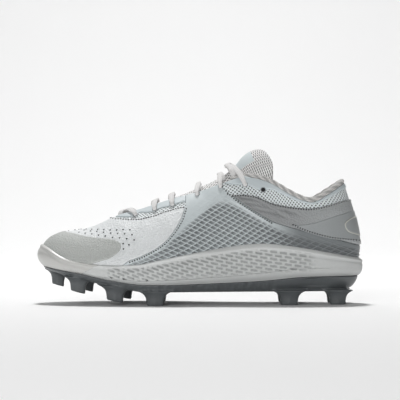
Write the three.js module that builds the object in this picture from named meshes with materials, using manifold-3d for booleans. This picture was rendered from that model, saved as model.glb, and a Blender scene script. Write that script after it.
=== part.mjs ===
// A moulded baseball cleat for the left foot: studded outsole, foam midsole with a toe bumper,
// a hollow upper with its overlays, tongue, insole, collar roll and laces.
// Millimetres, +Z up. The toe points to -X and the outer side of the foot faces -Y.

import * as THREE from "three";
import { mergeVertices } from "three/addons/utils/BufferGeometryUtils.js";
import Module from "manifold-3d";

const wasm = await Module();
wasm.setup();

// Driving sizes of the whole shoe
const LENGTH = 298; // sole from toe to heel
const BALL_WIDTH = 95; // last at the ball of the foot
const INSTEP_HEIGHT = 100; // last's top over the footbed, at the front of the collar
const HEEL_HEIGHT = 0.76 * INSTEP_HEIGHT; // back of the collar over the footbed
const TOE_SPRING = 21.5; // rise of the sole at the tip of the toe
const HEEL_LEAN = 9.5; // how far the back of the collar leans forward

// Sizes of single pieces
const GAP = 0.3; // space between pieces that touch
const UPPER_WALL = 2;
const OVERLAY = 1; // thickness of a sewn or moulded overlay
const CAP_FILM = 0.8; // thickness of the toe cap and heel counter
const STUD_HEIGHT = 12;
const STUD_LENGTH = 14.5;
const STUD_WIDTH = 8.5;
const OUTSOLE_SIDE = 14; // height of the outsole's side at the heel
const FOAM = 8; // midsole under the heel
const WALL_HEIGHT = 25; // midsole's side above the footbed, at the arch
const WALL_THICKNESS = 5; // midsole's side at the ball
const INSOLE = 3.5;
const SWELL = 2.7; // how far the upper swells out over its bottom edge
const THROAT_WIDTH = 36;
const TONGUE_WIDTH = 56;
const TONGUE_PAD = 10; // thickness of the tongue's padded top
const TONGUE_EDGE = 2.5; // thickness of its edges
const PAD_START = 0.3; // where the pad starts, from the tongue's edge to its middle
const COLLAR_ROLL = 5; // width of the knitted roll round the collar
const LACE_WIDTH = 4.8;
const LACE_THICKNESS = 2.4;
const LACE_LIFT = 0.65; // space between the lace and what it lies on, for the upper's curve
const EYELET = 3.6;
const BUMPER_BACKING = 1; // midsole left behind the toe bumper

// Proportions, each a share of the length
const SPRING_START = 0.332; // the sole is flat from here to the heel
const SPRING_POWER = 1.3;
const TOE_INSET = 0.028; // from the sole's tip to the last's
const HEEL_INSET = 0.0275;
const CREST_TOE = 0.148; // where the last's top line starts and ends
const CREST_HEEL = 0.852;
const THROAT_TOE = 0.224;
const THROAT_ROUND = 0.045;
const THROAT_HEEL = 0.69; // behind it only the collar's height counts
const LEAN_START = 0.6;
const COLLAR_START = 0.63; // the collar's roll starts in front of it

// Form of the last's ends, sides and back
const END_POWER = 2.5;
const SWELL_PEAK = 0.25;
const LEAN_FROM = 0.2;
const LEAN_POWER = 1.2;

// Last. half and centre are shares of BALL_WIDTH, crest and ridge those of its top line:
// crest is its place across, a share of BALL_WIDTH, and ridge its height, a share of INSTEP_HEIGHT.
// square is how boxy the section is: 2 is an ellipse.
const LAST = [
  { along: 0.0, half: 0.455, centre: 0.093, crest: 0.093, ridge: 0.24, square: 3.4 },
  { along: 0.05, half: 0.475, centre: 0.088, crest: 0.088, ridge: 0.26, square: 3.1 },
  { along: 0.1, half: 0.5, centre: 0.082, crest: 0.08, ridge: 0.286, square: 2.7 },
  { along: 0.15, half: 0.517, centre: 0.072, crest: 0.072, ridge: 0.325, square: 2.45 },
  { along: 0.2, half: 0.526, centre: 0.057, crest: 0.062, ridge: 0.408, square: 2.25 },
  { along: 0.25, half: 0.528, centre: 0.042, crest: 0.052, ridge: 0.515, square: 2.15 },
  { along: 0.3, half: 0.526, centre: 0.026, crest: 0.044, ridge: 0.585, square: 2.1 },
  { along: 0.4, half: 0.5, centre: 0.0, crest: 0.032, ridge: 0.6965, square: 2.0 },
  { along: 0.5, half: 0.423, centre: -0.015, crest: 0.02, ridge: 0.802, square: 2.0 },
  { along: 0.6, half: 0.371, centre: -0.021, crest: 0.01, ridge: 0.923, square: 2.25 },
  { along: 0.7, half: 0.364, centre: -0.01, crest: 0.0, ridge: 1.03, square: 2.6 },
  { along: 0.8, half: 0.387, centre: 0.0, crest: 0.0, ridge: 1.03, square: 3.0 },
  { along: 0.9, half: 0.407, centre: 0.0, crest: 0.0, ridge: 1.02, square: 3.2 },
  { along: 1.0, half: 0.381, centre: 0.0, crest: 0.0, ridge: 1.02, square: 3.2 },
];

// Sole. side is a share of OUTSOLE_SIDE, foam of FOAM, wall of WALL_HEIGHT and out of WALL_THICKNESS.
const SOLE = [
  { along: 0.0, side: 0.24, foam: 0.5, wall: 0.65, out: 0.72 },
  { along: 0.05, side: 0.275, foam: 0.5, wall: 0.488, out: 0.78 },
  { along: 0.1, side: 0.35, foam: 0.54, wall: 0.288, out: 0.86 },
  { along: 0.15, side: 0.435, foam: 0.58, wall: 0.236, out: 0.92 },
  { along: 0.2, side: 0.43, foam: 0.62, wall: 0.28, out: 0.97 },
  { along: 0.3, side: 0.47, foam: 0.67, wall: 0.444, out: 1.0 },
  { along: 0.4, side: 0.48, foam: 0.73, wall: 0.674, out: 1.0 },
  { along: 0.5, side: 0.54, foam: 0.79, wall: 0.864, out: 1.0 },
  { along: 0.6, side: 0.62, foam: 0.87, wall: 1.004, out: 0.95 },
  { along: 0.65, side: 0.665, foam: 0.92, wall: 1.03, out: 0.9 },
  { along: 0.7, side: 0.735, foam: 0.96, wall: 0.996, out: 0.85 },
  { along: 0.8, side: 0.94, foam: 1.0, wall: 0.728, out: 0.84 },
  { along: 0.9, side: 1.0, foam: 1.0, wall: 0.484, out: 0.9 },
  { along: 1.0, side: 1.0, foam: 1.0, wall: 0.268, out: 1.1 },
];

// Midsole's side from its bottom edge to its lip: rise is a share of the side's height,
// out a share of its thickness.
const SIDEWALL = [
  { rise: 0.0, out: 0.3 },
  { rise: 0.1, out: 0.68 },
  { rise: 0.32, out: 0.98 },
  { rise: 0.6, out: 1.0 },
  { rise: 0.82, out: 0.78 },
  { rise: 0.95, out: 0.45 },
  { rise: 1.0, out: 0.18 },
];

// Collar's edge, its height a share of HEEL_HEIGHT over the footbed at the heel
const COLLAR = [
  { along: 0.64, height: 1.06 },
  { along: 0.69, height: 1.02 },
  { along: 0.725, height: 0.963 },
  { along: 0.762, height: 0.876 },
  { along: 0.8, height: 0.799 },
  { along: 0.835, height: 0.762 },
  { along: 0.857, height: 0.785 },
  { along: 0.884, height: 0.85 },
  { along: 0.913, height: 0.925 },
  { along: 0.94, height: 1.0 },
];

// Tongue: top is the height of its middle over the last and thick its thickness, shares of TONGUE_PAD.
// width is a share of TONGUE_WIDTH, and back how far its sides lag behind its middle, of the length.
const TONGUE = [
  { along: 0.2, top: -0.14, thick: 0.25, width: 0.4, back: 0 },
  { along: 0.24, top: -0.12, thick: 0.3, width: 0.6, back: 0 },
  { along: 0.3, top: -0.08, thick: 0.4, width: 0.8, back: 0 },
  { along: 0.4, top: -0.06, thick: 0.4, width: 0.95, back: 0 },
  { along: 0.5, top: -0.05, thick: 0.4, width: 1.0, back: 0 },
  { along: 0.57, top: 0.0, thick: 0.45, width: 1.0, back: 0.01 },
  { along: 0.61, top: 0.35, thick: 0.7, width: 1.0, back: 0.02 },
  { along: 0.645, top: 0.85, thick: 1.05, width: 1.0, back: 0.035 },
  { along: 0.68, top: 0.95, thick: 1.1, width: 1.0, back: 0.04 },
  { along: 0.704, top: 0.6, thick: 0.8, width: 1.0, back: 0.04 },
  { along: 0.712, top: 0.1, thick: 0.35, width: 0.98, back: 0.04 },
];

// Throat's opening, a share of THROAT_WIDTH
const THROAT = [
  { along: 0.224, width: 0.64 },
  { along: 0.35, width: 0.78 },
  { along: 0.5, width: 0.94 },
  { along: 0.65, width: 1.12 },
];

// Lines seen from the side: along is a share of the length, up a share of INSTEP_HEIGHT over the
// footbed at the heel
const VAMP_TOP = [[0.226, 0.429], [0.258, 0.421], [0.294, 0.414], [0.343, 0.434], [0.385, 0.476],
  [0.405, 0.497], [0.446, 0.531]];
const VAMP_BACK = [[0.455, 0.527], [0.4535, 0.493], [0.4405, 0.397], [0.4195, 0.301], [0.397, 0.221],
  [0.365, 0.152], [0.3235, 0.09], [0.292, 0.058], [0.271, 0.017]];
const EYESTAY_LOW = [[0.226, 0.433], [0.262, 0.429], [0.3, 0.437], [0.318, 0.469], [0.34, 0.47],
  [0.36, 0.481], [0.385, 0.513], [0.41, 0.529], [0.446, 0.565]];
const SADDLE_FRONT = [[0.4575, 0.757], [0.4575, 0.527]];
const SADDLE_BACK = [[0.5545, 0.807], [0.555, 0.777], [0.6, 0.63], [0.65, 0.525], [0.7165, 0.406]];
const CAGE_HEEL = [[0.7165, 0.406], [0.77, 0.357], [0.892, 0.261], [1.02, 0.162]];
const QUARTER_TOP = [[0.6, 0.642], [0.632, 0.643], [0.672, 0.627], [0.705, 0.584], [0.745, 0.551],
  [0.796, 0.53], [0.833, 0.525], [0.87, 0.542], [0.925, 0.587], [0.96, 0.612]];
const BAND_LOW = [[0.561, 0.787], [0.576, 0.742], [0.6, 0.732], [0.65, 0.722], [0.672, 0.692], [0.692, 0.677],
  [0.712, 0.692], [0.75, 0.647], [0.795, 0.587], [0.835, 0.562], [0.868, 0.587], [0.9, 0.637], [0.95, 0.717]];
const COUNTER = [[0.774, 0.371], [0.834, 0.388], [0.906, 0.454], [0.965, 0.503], [1.03, 0.537],
  [1.03, 0.187], [0.965, 0.224], [0.888, 0.255], [0.816, 0.316]];
const PATCH = [[1.03, 0.467], [0.977, 0.45], [0.948, 0.422], [0.933, 0.379], [0.94, 0.3235], [0.959, 0.296],
  [0.992, 0.267], [1.03, 0.25]];
const TOE_CAP_TOP = [[-0.02, 0.3], [0.03, 0.297], [0.072, 0.29], [0.117, 0.271], [0.159, 0.252], [0.2, 0.24],
  [0.2325, 0.236], [0.2535, 0.221], [0.265, 0.19], [0.262, 0.14], [0.249, 0.102], [0.2325, 0.071],
  [0.2, 0.045]];
// Beyond the shoe on each side
const FAR_TOE = -0.15;
const FAR_HEEL = 1.03;
const FAR_BELOW = -0.35;
const FAR_ABOVE = 1.1;
const BUMPER_SEAM = [[0.192, 0.017], [0.148, -0.053]];

// Diamond openings of the cage, all as seen from the side, and the line that they stop at
const LATTICE_TOP = [[0.86, 0.277], [0.72, 0.397], [0.6, 0.557], [0.47, 0.457]];
const LATTICE_STEP = 17;
const LATTICE_RISE = 9.6;
const DIAMOND_LENGTH = 12;
const DIAMOND_HEIGHT = 6.2;
const LATTICE_MARGIN = 4; // solid rim between the openings and the cage's edge

// Studs: across is a share of the outsole's half width, negative on the outer side
const STUDS = [
  { along: 0.062, across: 0.0, size: 0.75 },
  { along: 0.13, across: -0.78, size: 0.9 },
  { along: 0.143, across: 0.78, size: 0.9 },
  { along: 0.244, across: -0.84, size: 1.0 },
  { along: 0.26, across: 0.84, size: 1.0 },
  { along: 0.3655, across: -0.84, size: 1.05 },
  { along: 0.367, across: 0.84, size: 1.05 },
  { along: 0.7695, across: -0.78, size: 1.05 },
  { along: 0.7695, across: 0.78, size: 1.05 },
  { along: 0.9185, across: -0.72, size: 0.97 },
  { along: 0.9185, across: 0.72, size: 0.97 },
];
// A stud's section, as shares of its length and width
const STUD_OUTLINE = [[-0.5, -0.3], [-0.18, -0.5], [0.5, -0.42], [0.5, 0.42], [-0.18, 0.5], [-0.5, 0.3]];
// From its tip to inside the plate: up is a share of the stud's height, grow the section's size
const STUD_LEVELS = [
  { up: 0.0, grow: 1.0 },
  { up: 0.6, grow: 1.13 },
  { up: 1.0, grow: 1.75 },
  { up: 1.12, grow: 1.75 },
];
// Plate's side from its bottom edge to its top one: inset and up are shares of its slope and height
const PLATE_INSET = 1.5;
const PLATE_SLOPE = 0.75;
const PLATE_SIDE = [
  { inset: 1.0, up: 0.0 },
  { inset: 0.45, up: 0.3 },
  { inset: 0.12, up: 0.7 },
  { inset: 0.0, up: 1.0 },
];
const GROOVES = { first: 0.43, last: 0.7, count: 7, radius: 2.2 };
const SCOOP = { along: 0.845, length: 9.5, depth: 9, height: 9 };

// Insole's rim: inset is the distance from the last's edge, and up a share of the insole's thickness
const INSOLE_RIM = [
  { inset: 2.5 * GAP, up: 0.0 },
  { inset: 0.5, up: 0.3 },
  { inset: 0.5, up: 0.8 },
  { inset: 1.3, up: 1.0 },
];

// Laces: one row for each pair of bars that cross, from the throat's edge to the eyelets at the other
// side. down is how far below the upper's edge the eyelets are, a share of EYELET_DEPTH, and over how
// much the bars rise over the tongue, a share of TONGUE_PAD.
const LACE_ROWS = [
  { from: 0.276, to: 0.333, down: 1.0, over: 0 },
  { from: 0.371, to: 0.386, down: 1.0, over: 0 },
  { from: 0.42, to: 0.433, down: 1.0, over: 0 },
  { from: 0.5, to: 0.495, down: 0.5, over: 0 },
  { from: 0.564, to: 0.556, down: 0.5, over: 0 },
  { from: 0.592, to: 0.62, down: 1.75, over: 0.25 },
];
const FREE_EYELET = { to: 0.665, down: 1.75 };
const EYELET_DEPTH = 7;
const LACE_STEPS = 6;

// Faces: rows round the shoe and columns up its side
const ROWS = 20;
const COLUMNS = 5;
const THROAT_ROWS = [0, 0.004, 0.016]; // extra rows behind the throat's front end
const NEAREST_TURNS = 0.04;
const COLUMN_POWER = 1.15; // above 1 the columns crowd towards the bottom edge
const QUARTER_TURN = Math.PI / 2;
const TINY = 1e-3;
const BISECTIONS = 30;

const alongOf = (x) => x / LENGTH + 0.5;
const xOf = (along) => (along - 0.5) * LENGTH;
const mix = (a, b, t) => a + (b - a) * t;
const clamp = THREE.MathUtils.clamp;

/** Reads a column of a table on a smooth curve through its rows. */
function read(table, column, at, key = "along") {
  const end = table.length - 1;
  if (at <= table[0][key]) return table[0][column];
  if (at >= table[end][key]) return table[end][column];
  const i = table.findIndex((row) => row[key] > at) - 1;
  const slope = (k) => {
    const low = table[Math.max(0, k - 1)];
    const high = table[Math.min(end, k + 1)];
    return (high[column] - low[column]) / (high[key] - low[key]);
  };
  const a = table[i];
  const b = table[i + 1];
  const step = b[key] - a[key];
  const t = (at - a[key]) / step;
  const t2 = t * t;
  const t3 = t2 * t;
  return (2 * t3 - 3 * t2 + 1) * a[column] + (t3 - 2 * t2 + t) * step * slope(i)
    + (3 * t2 - 2 * t3) * b[column] + (t3 - t2) * step * slope(i + 1);
}

// Levels over the floor, from the studs up
const spring = (x) => TOE_SPRING * Math.max(0, 1 - alongOf(x) / SPRING_START) ** SPRING_POWER;
const plateBottom = (x) => STUD_HEIGHT + spring(x);
const plateTop = (x) => plateBottom(x) + OUTSOLE_SIDE * read(SOLE, "side", alongOf(x));
const bed = (x) => plateTop(x) + GAP + FOAM * read(SOLE, "foam", alongOf(x));
const wallTop = (x) => bed(x) + WALL_HEIGHT * read(SOLE, "wall", alongOf(x));
const heelBed = bed(xOf(1));
const levelOf = (up) => heelBed + up * INSTEP_HEIGHT;
const upOf = (z) => (z - heelBed) / INSTEP_HEIGHT;
const collarHeight = (x) => heelBed + HEEL_HEIGHT * read(COLLAR, "height", alongOf(x));

/** Half the throat's opening at x: none in front of it, and a round front end. */
function throatHalf(x) {
  const behind = alongOf(x) - THROAT_TOE;
  if (behind <= TINY / 10 || alongOf(x) > THROAT_HEEL) return 0;
  const t = Math.min(1, behind / THROAT_ROUND);
  return 0.5 * THROAT_WIDTH * read(THROAT, "width", alongOf(x)) * Math.sqrt(t * (2 - t));
}

/**
 * A point on the last. turn goes round the shoe: 0 is the toe, half a turn the heel, and the outer
 * side is negative. lift goes from the bottom edge, 0, to the top line, a quarter turn.
 */
function lastPoint(turn, lift) {
  const side = Math.sin(turn) < 0 ? -1 : 1;
  const share = (1 - Math.cos(turn)) / 2;
  const footX = mix(xOf(TOE_INSET), xOf(1 - HEEL_INSET), share);
  const crestX = mix(xOf(CREST_TOE), xOf(CREST_HEEL), share);
  const round = (1 - Math.abs(2 * share - 1) ** END_POWER) ** (1 / END_POWER);
  const at = alongOf(footX);
  const footY = BALL_WIDTH * (read(LAST, "centre", at) + side * read(LAST, "half", at) * round);
  const crestY = BALL_WIDTH * read(LAST, "crest", alongOf(crestX));
  const square = read(LAST, "square", at);
  const c = Math.max(0, Math.cos(lift));
  const s = Math.sin(lift);
  const reach = (c ** square + s ** square) ** (-1 / square);
  const rise = s * reach;
  const bulge = SWELL * (rise / SWELL_PEAK) * Math.exp(1 - rise / SWELL_PEAK) * (1 - rise * rise);
  const outward = new THREE.Vector2(footX - crestX, footY - crestY);
  const far = outward.length();
  outward.multiplyScalar((far * c * reach + bulge) / far);
  const x = crestX + outward.x;
  const height = INSTEP_HEIGHT * read(LAST, "ridge", alongOf(x));
  const lean = Math.max(0, rise - LEAN_FROM) ** LEAN_POWER;
  const back = clamp((alongOf(x) - LEAN_START) / (1 - LEAN_START), 0, 1) ** 2;
  const full = (HEEL_HEIGHT / INSTEP_HEIGHT - LEAN_FROM) ** LEAN_POWER;
  return new THREE.Vector3(
    x - HEEL_LEAN * back * lean / full,
    crestY + outward.y,
    bed(x) + GAP + height * rise,
  );
}

/** The last's outward direction at a point. */
function outwardAt(turn, lift) {
  const up = clamp(lift, TINY, QUARTER_TURN - 30 * TINY);
  const round = lastPoint(turn + TINY, up).sub(lastPoint(turn - TINY, up));
  const rising = lastPoint(turn, up + TINY).sub(lastPoint(turn, up - TINY));
  const out = rising.cross(round).normalize();
  if (lift < TINY) out.setZ(0).normalize();
  return out;
}

/** A point at a distance from the last's skin. */
function skin(turn, lift, offset) {
  const out = outwardAt(turn, lift);
  if (lift > QUARTER_TURN - TINY) out.add(outwardAt(-turn, lift)).normalize();
  return lastPoint(turn, lift).addScaledVector(out, offset);
}

/** The lift at which the upper ends: at the collar, at the throat, or at the top line. */
function edgeLift(turn) {
  const inside = (lift) => {
    const p = lastPoint(turn, lift);
    const crest = BALL_WIDTH * read(LAST, "crest", alongOf(p.x));
    return Math.abs(p.y - crest) >= throatHalf(p.x) && (p.z <= collarHeight(p.x));
  };
  if (inside(QUARTER_TURN) && throatHalf(lastPoint(turn, QUARTER_TURN).x) === 0) return QUARTER_TURN;
  let low = 0;
  let high = QUARTER_TURN;
  for (let i = 0; i < BISECTIONS; i += 1) {
    const middle = (low + high) / 2;
    if (inside(middle)) low = middle;
    else high = middle;
  }
  return low;
}

/** The turn on the inner side at which the top line, or the bottom edge, is at a share of the length. */
const turnAtCrest = (along) => Math.acos(1 - 2 * clamp((along - CREST_TOE) / (CREST_HEEL - CREST_TOE), 0, 1));
const turnAtFoot = (along) =>
  Math.acos(1 - 2 * clamp((along - TOE_INSET) / (1 - HEEL_INSET - TOE_INSET), 0, 1));

// Every form has these rows, so that the skins of two pieces never cross
const halfTurns = Array.from({ length: ROWS + 1 }, (_, i) => (Math.PI * i) / ROWS);
const throatTurns = THROAT_ROWS.map((past) => turnAtCrest(THROAT_TOE + past));
const farFromThroat = (turn) => throatTurns.every((other) => Math.abs(turn - other) > NEAREST_TURNS);
const innerTurns = [...halfTurns.filter(farFromThroat), ...throatTurns].sort((a, b) => a - b);
const allTurns = [...innerTurns.slice(1).reverse().map((t) => -t), ...innerTurns];

/** A closed mesh put together from faces, whose equal corners become one. */
class Faces {
  constructor() {
    this.corners = [];
    this.triangles = [];
    this.known = new Map();
  }

  corner(p) {
    const key = [p.x, p.y, p.z].map((v) => Math.round(v * 2000)).join();
    if (!this.known.has(key)) {
      this.known.set(key, this.corners.length / 3);
      this.corners.push(p.x, p.y, p.z);
    }
    return this.known.get(key);
  }

  triangle(a, b, c) {
    const [i, j, k] = [a, b, c].map((p) => this.corner(p));
    if (i !== j && j !== k && k !== i) this.triangles.push(i, j, k);
  }

  quad(a, b, c, d) {
    this.triangle(a, b, c);
    this.triangle(a, c, d);
  }

  /** Joins each row of points to the next. */
  sheet(rows, flip = false) {
    for (let i = 0; i + 1 < rows.length; i += 1) {
      for (let j = 0; j + 1 < rows[i].length; j += 1) {
        const [a, b, c, d] = [rows[i][j], rows[i + 1][j], rows[i + 1][j + 1], rows[i][j + 1]];
        if (flip) this.quad(a, d, c, b);
        else this.quad(a, b, c, d);
      }
    }
  }

  /** Closes a loop of points, from heel to toe and back, straight across the shoe. */
  deck(loop, flip = false) {
    const half = (loop.length - 1) / 2;
    for (let i = 0; i < half; i += 1) {
      const across = [loop[i], loop[i + 1], loop[loop.length - 2 - i], loop[loop.length - 1 - i]];
      this.quad(...(flip ? across.reverse() : across));
    }
  }

  solid() {
    return new wasm.Manifold(new wasm.Mesh({
      numProp: 3,
      vertProperties: new Float32Array(this.corners),
      triVerts: new Uint32Array(this.triangles),
    }));
  }
}

/** A closed three.js geometry as a solid. */
function solidOf(geometry) {
  const bare = geometry.clone();
  bare.deleteAttribute("normal");
  bare.deleteAttribute("uv");
  const merged = mergeVertices(bare);
  return new wasm.Manifold(new wasm.Mesh({
    numProp: 3,
    vertProperties: new Float32Array(merged.attributes.position.array),
    triVerts: new Uint32Array(merged.index.array),
  }));
}

function geometryOf(solid) {
  const { numProp, vertProperties, triVerts } = solid.getMesh();
  const positions = new Float32Array(triVerts.length * 3);
  triVerts.forEach((v, i) => positions.set(vertProperties.subarray(v * numProp, v * numProp + 3), i * 3));
  const geometry = new THREE.BufferGeometry();
  geometry.setAttribute("position", new THREE.BufferAttribute(positions, 3));
  geometry.computeVertexNormals();
  return geometry;
}

/** Points up the side, from the bottom edge to the throat's, the collar's or the top line. */
function column(turn, offset) {
  const edge = edgeLift(turn);
  return Array.from({ length: COLUMNS + 1 }, (_, j) =>
    skin(turn, edge * (j / COLUMNS) ** COLUMN_POWER, offset));
}

/** A wall between two skins of the last, open underneath and at the throat and collar. */
function wall(inner, outer) {
  const outside = allTurns.map((turn) => column(turn, outer));
  const inside = allTurns.map((turn) => column(turn, inner));
  const faces = new Faces();
  faces.sheet(outside, true);
  faces.sheet(inside);
  faces.sheet(inside.map((row, i) => [outside[i][0], row[0]]));
  const open = allTurns.map((turn) => edgeLift(turn) < QUARTER_TURN - TINY / 10);
  for (let i = 0; i + 1 < allTurns.length; i += 1) {
    if (open[i] || open[i + 1]) {
      faces.quad(inside[i].at(-1), inside[i + 1].at(-1), outside[i + 1].at(-1), outside[i].at(-1));
    }
  }
  return faces.solid();
}

/** A closed body whose side follows profile(turn), from its lower edge to its upper one. */
function body(profile) {
  const rows = allTurns.map(profile);
  const faces = new Faces();
  faces.sheet(rows, true);
  faces.deck(rows.map((row) => row[0]));
  faces.deck(rows.map((row) => row.at(-1)), true);
  return faces.solid();
}

/** A prism with an outline seen from the side: across the whole shoe, or over one side of it. */
function prism(outline, side = 0) {
  const corners = outline.map(([along, up]) => new THREE.Vector2(xOf(along), levelOf(up)));
  const shape = new THREE.Shape(corners);
  const depth = side === 0 ? 2 * BALL_WIDTH : BALL_WIDTH;
  const geometry = new THREE.ExtrudeGeometry(shape, { depth, bevelEnabled: false });
  geometry.rotateX(QUARTER_TURN);
  geometry.translate(0, side < 0 ? 0 : BALL_WIDTH, 0);
  return solidOf(geometry);
}

/** The line along the top of the midsole's side, between two shares of the length. */
function lipLine(from, to, clear = 2 * GAP) {
  const line = innerTurns.map((turn) => {
    const high = wallTop(lastPoint(-turn, 0).x);
    const [near, lip] = [-UPPER_WALL - GAP, OVERLAY].map((out) => sidePoint(-turn, high, out));
    return [alongOf(near.x), upOf(lip.z + clear)];
  });
  const at = (along) => {
    const i = clamp(line.findIndex((p) => p[0] > along), 1, line.length - 1);
    const [a, b] = [line[i - 1], line[i]];
    return [along, mix(a[1], b[1], clamp((along - a[0]) / (b[0] - a[0]), 0, 1))];
  };
  const [low, high] = [Math.min(from, to), Math.max(from, to)];
  const between = line.filter(([along]) => along > low + TINY && along < high - TINY);
  const whole = [at(low), ...between, high > line.at(-1)[0] ? [high, line.at(-1)[1]] : at(high)];
  return from < to ? whole : whole.reverse();
}

/** A line seen from the side, moved along and up by distances. */
const shifted = (line, dx, dz) => line.map(([along, up]) => [along + dx / LENGTH, up + dz / INSTEP_HEIGHT]);

/** A point on the last's bottom edge, at a distance from it and at a height. */
const edgePoint = (turn, offset, z) => skin(turn, 0, offset).setZ(z);

/** A point on the midsole's side: out is the distance from the upper's skin. */
function sidePoint(turn, z, out) {
  const foot = lastPoint(turn, 0);
  const offset = UPPER_WALL + GAP + out;
  if (z <= foot.z) return edgePoint(turn, offset, z);
  const square = read(LAST, "square", alongOf(foot.x));
  const rise = (z - foot.z) / (INSTEP_HEIGHT * read(LAST, "ridge", alongOf(foot.x)));
  const lift = Math.atan2(rise, (1 - rise ** square) ** (1 / square));
  return skin(turn, lift, offset);
}

function makeUpper() {
  const holes = eyeletPlaces().map(({ turn, lift }) => eyeletHole(turn, lift));
  return wall(0, UPPER_WALL).subtract(wasm.Manifold.union(holes));
}

/** The cutter of one punched eyelet. */
function eyeletHole(turn, lift) {
  const reach = UPPER_WALL + OVERLAY + 2 * GAP;
  const hole = new THREE.CylinderGeometry(EYELET / 2, EYELET / 2, 2 * reach, 6);
  const out = outwardAt(turn, lift);
  hole.applyQuaternion(new THREE.Quaternion().setFromUnitVectors(new THREE.Vector3(0, 1, 0), out));
  const at = skin(turn, lift, UPPER_WALL / 2);
  hole.translate(at.x, at.y, at.z);
  return solidOf(hole);
}

/** Where the eyelets are: beside the throat, on both sides. */
function eyeletPlaces() {
  return [...LACE_ROWS, FREE_EYELET].flatMap(({ to, down }) => [-1, 1].map((side) => {
    const turn = side * turnAtCrest(to);
    return { turn, lift: liftBeside(turn, EYELET_DEPTH * down) };
  }));
}

/** The lift at a distance below the upper's edge, down the side. */
function liftBeside(turn, distance) {
  const edge = edgeLift(turn);
  const top = lastPoint(turn, edge);
  let lift = edge;
  while (lift > 0 && lastPoint(turn, lift).distanceTo(top) < distance) lift -= TINY;
  return lift;
}

/** An overlay: a layer over the upper, inside an outline seen from the side. */
const overlay = (layer, outline, side) => layer.intersect(prism(outline, side));

/** The midsole's whole side and bed, with the bumper still in it. */
function makeWholeMidsole() {
  const outside = body((turn) => {
    const x = lastPoint(turn, 0).x;
    const low = plateTop(x) + GAP;
    const high = wallTop(x);
    const thick = WALL_THICKNESS * read(SOLE, "out", alongOf(x));
    return SIDEWALL.map((row) => sidePoint(turn, mix(low, high, row.rise), thick * row.out));
  });
  const room = body((turn) => [edgePoint(turn, UPPER_WALL + GAP, bed(lastPoint(turn, 0).x)),
    ...column(turn, UPPER_WALL + GAP)]);
  return outside.subtract(room);
}

/** A column with the last's bottom outline, grown by a distance. */
const core = (grow) =>
  body((turn) => [-STUD_HEIGHT, INSTEP_HEIGHT].map((z) => edgePoint(turn, grow, z)));

/** The block in front of the bumper's seam. */
function bumperBlock(clear) {
  const [[topAlong, topUp], [lowAlong, lowUp]] = shifted(BUMPER_SEAM, -clear, 0);
  const seam = (up) => [mix(lowAlong, topAlong, (up - lowUp) / (topUp - lowUp)), up];
  return prism([[FAR_TOE, FAR_BELOW], seam(FAR_BELOW), seam(FAR_ABOVE), [FAR_TOE, FAR_ABOVE]]);
}

/** How far the outsole's outline stands out of the last's bottom edge. */
const plateReach = (x) =>
  UPPER_WALL + WALL_THICKNESS * read(SOLE, "out", alongOf(x)) * SIDEWALL[0].out;

function makePlate() {
  return body((turn) => {
    const x = lastPoint(turn, 0).x;
    const low = plateBottom(x);
    const high = plateTop(x);
    const reach = plateReach(x);
    const inset = PLATE_INSET + PLATE_SLOPE * (high - low);
    return PLATE_SIDE.map((row) => edgePoint(turn, reach - inset * row.inset, mix(low, high, row.up)));
  });
}

/** A stud, from its tip on the floor, or on the toe's rise, into the plate. */
function makeStud({ along, across, size }) {
  const x = xOf(along);
  const side = across < 0 ? -1 : 1;
  const turn = side * turnAtFoot(along);
  const outer = edgePoint(turn, plateReach(x), 0);
  const middle = edgePoint(-turn, plateReach(x), 0).add(outer).multiplyScalar(0.5);
  const centreY = mix(middle.y, outer.y, Math.abs(across));
  const rings = STUD_LEVELS.map(({ up, grow }) => STUD_OUTLINE.map(([u, v]) => {
    const px = x + u * STUD_LENGTH * size * grow;
    const py = centreY + v * STUD_WIDTH * size * grow * (side < 0 ? 1 : -1);
    const tip = spring(x + u * STUD_LENGTH * size);
    return new THREE.Vector3(px, py, mix(tip, tip + STUD_HEIGHT, up));
  }));
  const faces = new Faces();
  const closed = rings.map((ring) => [...ring, ring[0]]);
  const flip = side < 0;
  faces.sheet(closed, flip);
  fan(faces, rings[0], flip);
  fan(faces, rings.at(-1), !flip);
  return faces.solid();
}

/** Closes a ring of points with triangles from its first point. */
function fan(faces, ring, flip) {
  for (let i = 1; i + 1 < ring.length; i += 1) {
    const [b, c] = flip ? [ring[i + 1], ring[i]] : [ring[i], ring[i + 1]];
    faces.triangle(ring[0], b, c);
  }
}

/** Upright grooves along the sides of the outsole's waist. */
function makeGrooves() {
  const { first, last, count, radius } = GROOVES;
  return Array.from({ length: count }, (_, i) => mix(first, last, i / (count - 1))).flatMap((along) =>
    [-1, 1].map((side) => {
      const x = xOf(along);
      const z = mix(plateBottom(x), plateTop(x), 0.36);
      const at = edgePoint(side * turnAtFoot(along), plateReach(x) - radius * 0.4, z);
      const groove = new THREE.CylinderGeometry(radius, radius, (plateTop(x) - plateBottom(x)) * 0.9, 5);
      groove.rotateX(QUARTER_TURN);
      groove.translate(at.x, at.y, at.z);
      return solidOf(groove);
    }));
}

/** The hollow in each side of the outsole between the heel's studs. */
function makeScoops() {
  const x = xOf(SCOOP.along);
  return [-1, 1].map((side) => {
    const at = edgePoint(side * turnAtFoot(SCOOP.along), plateReach(x), plateBottom(x));
    const ball = new THREE.SphereGeometry(1, 10, 6);
    ball.scale(SCOOP.length, SCOOP.depth, SCOOP.height);
    ball.translate(x, at.y, at.z);
    return solidOf(ball);
  });
}

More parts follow.
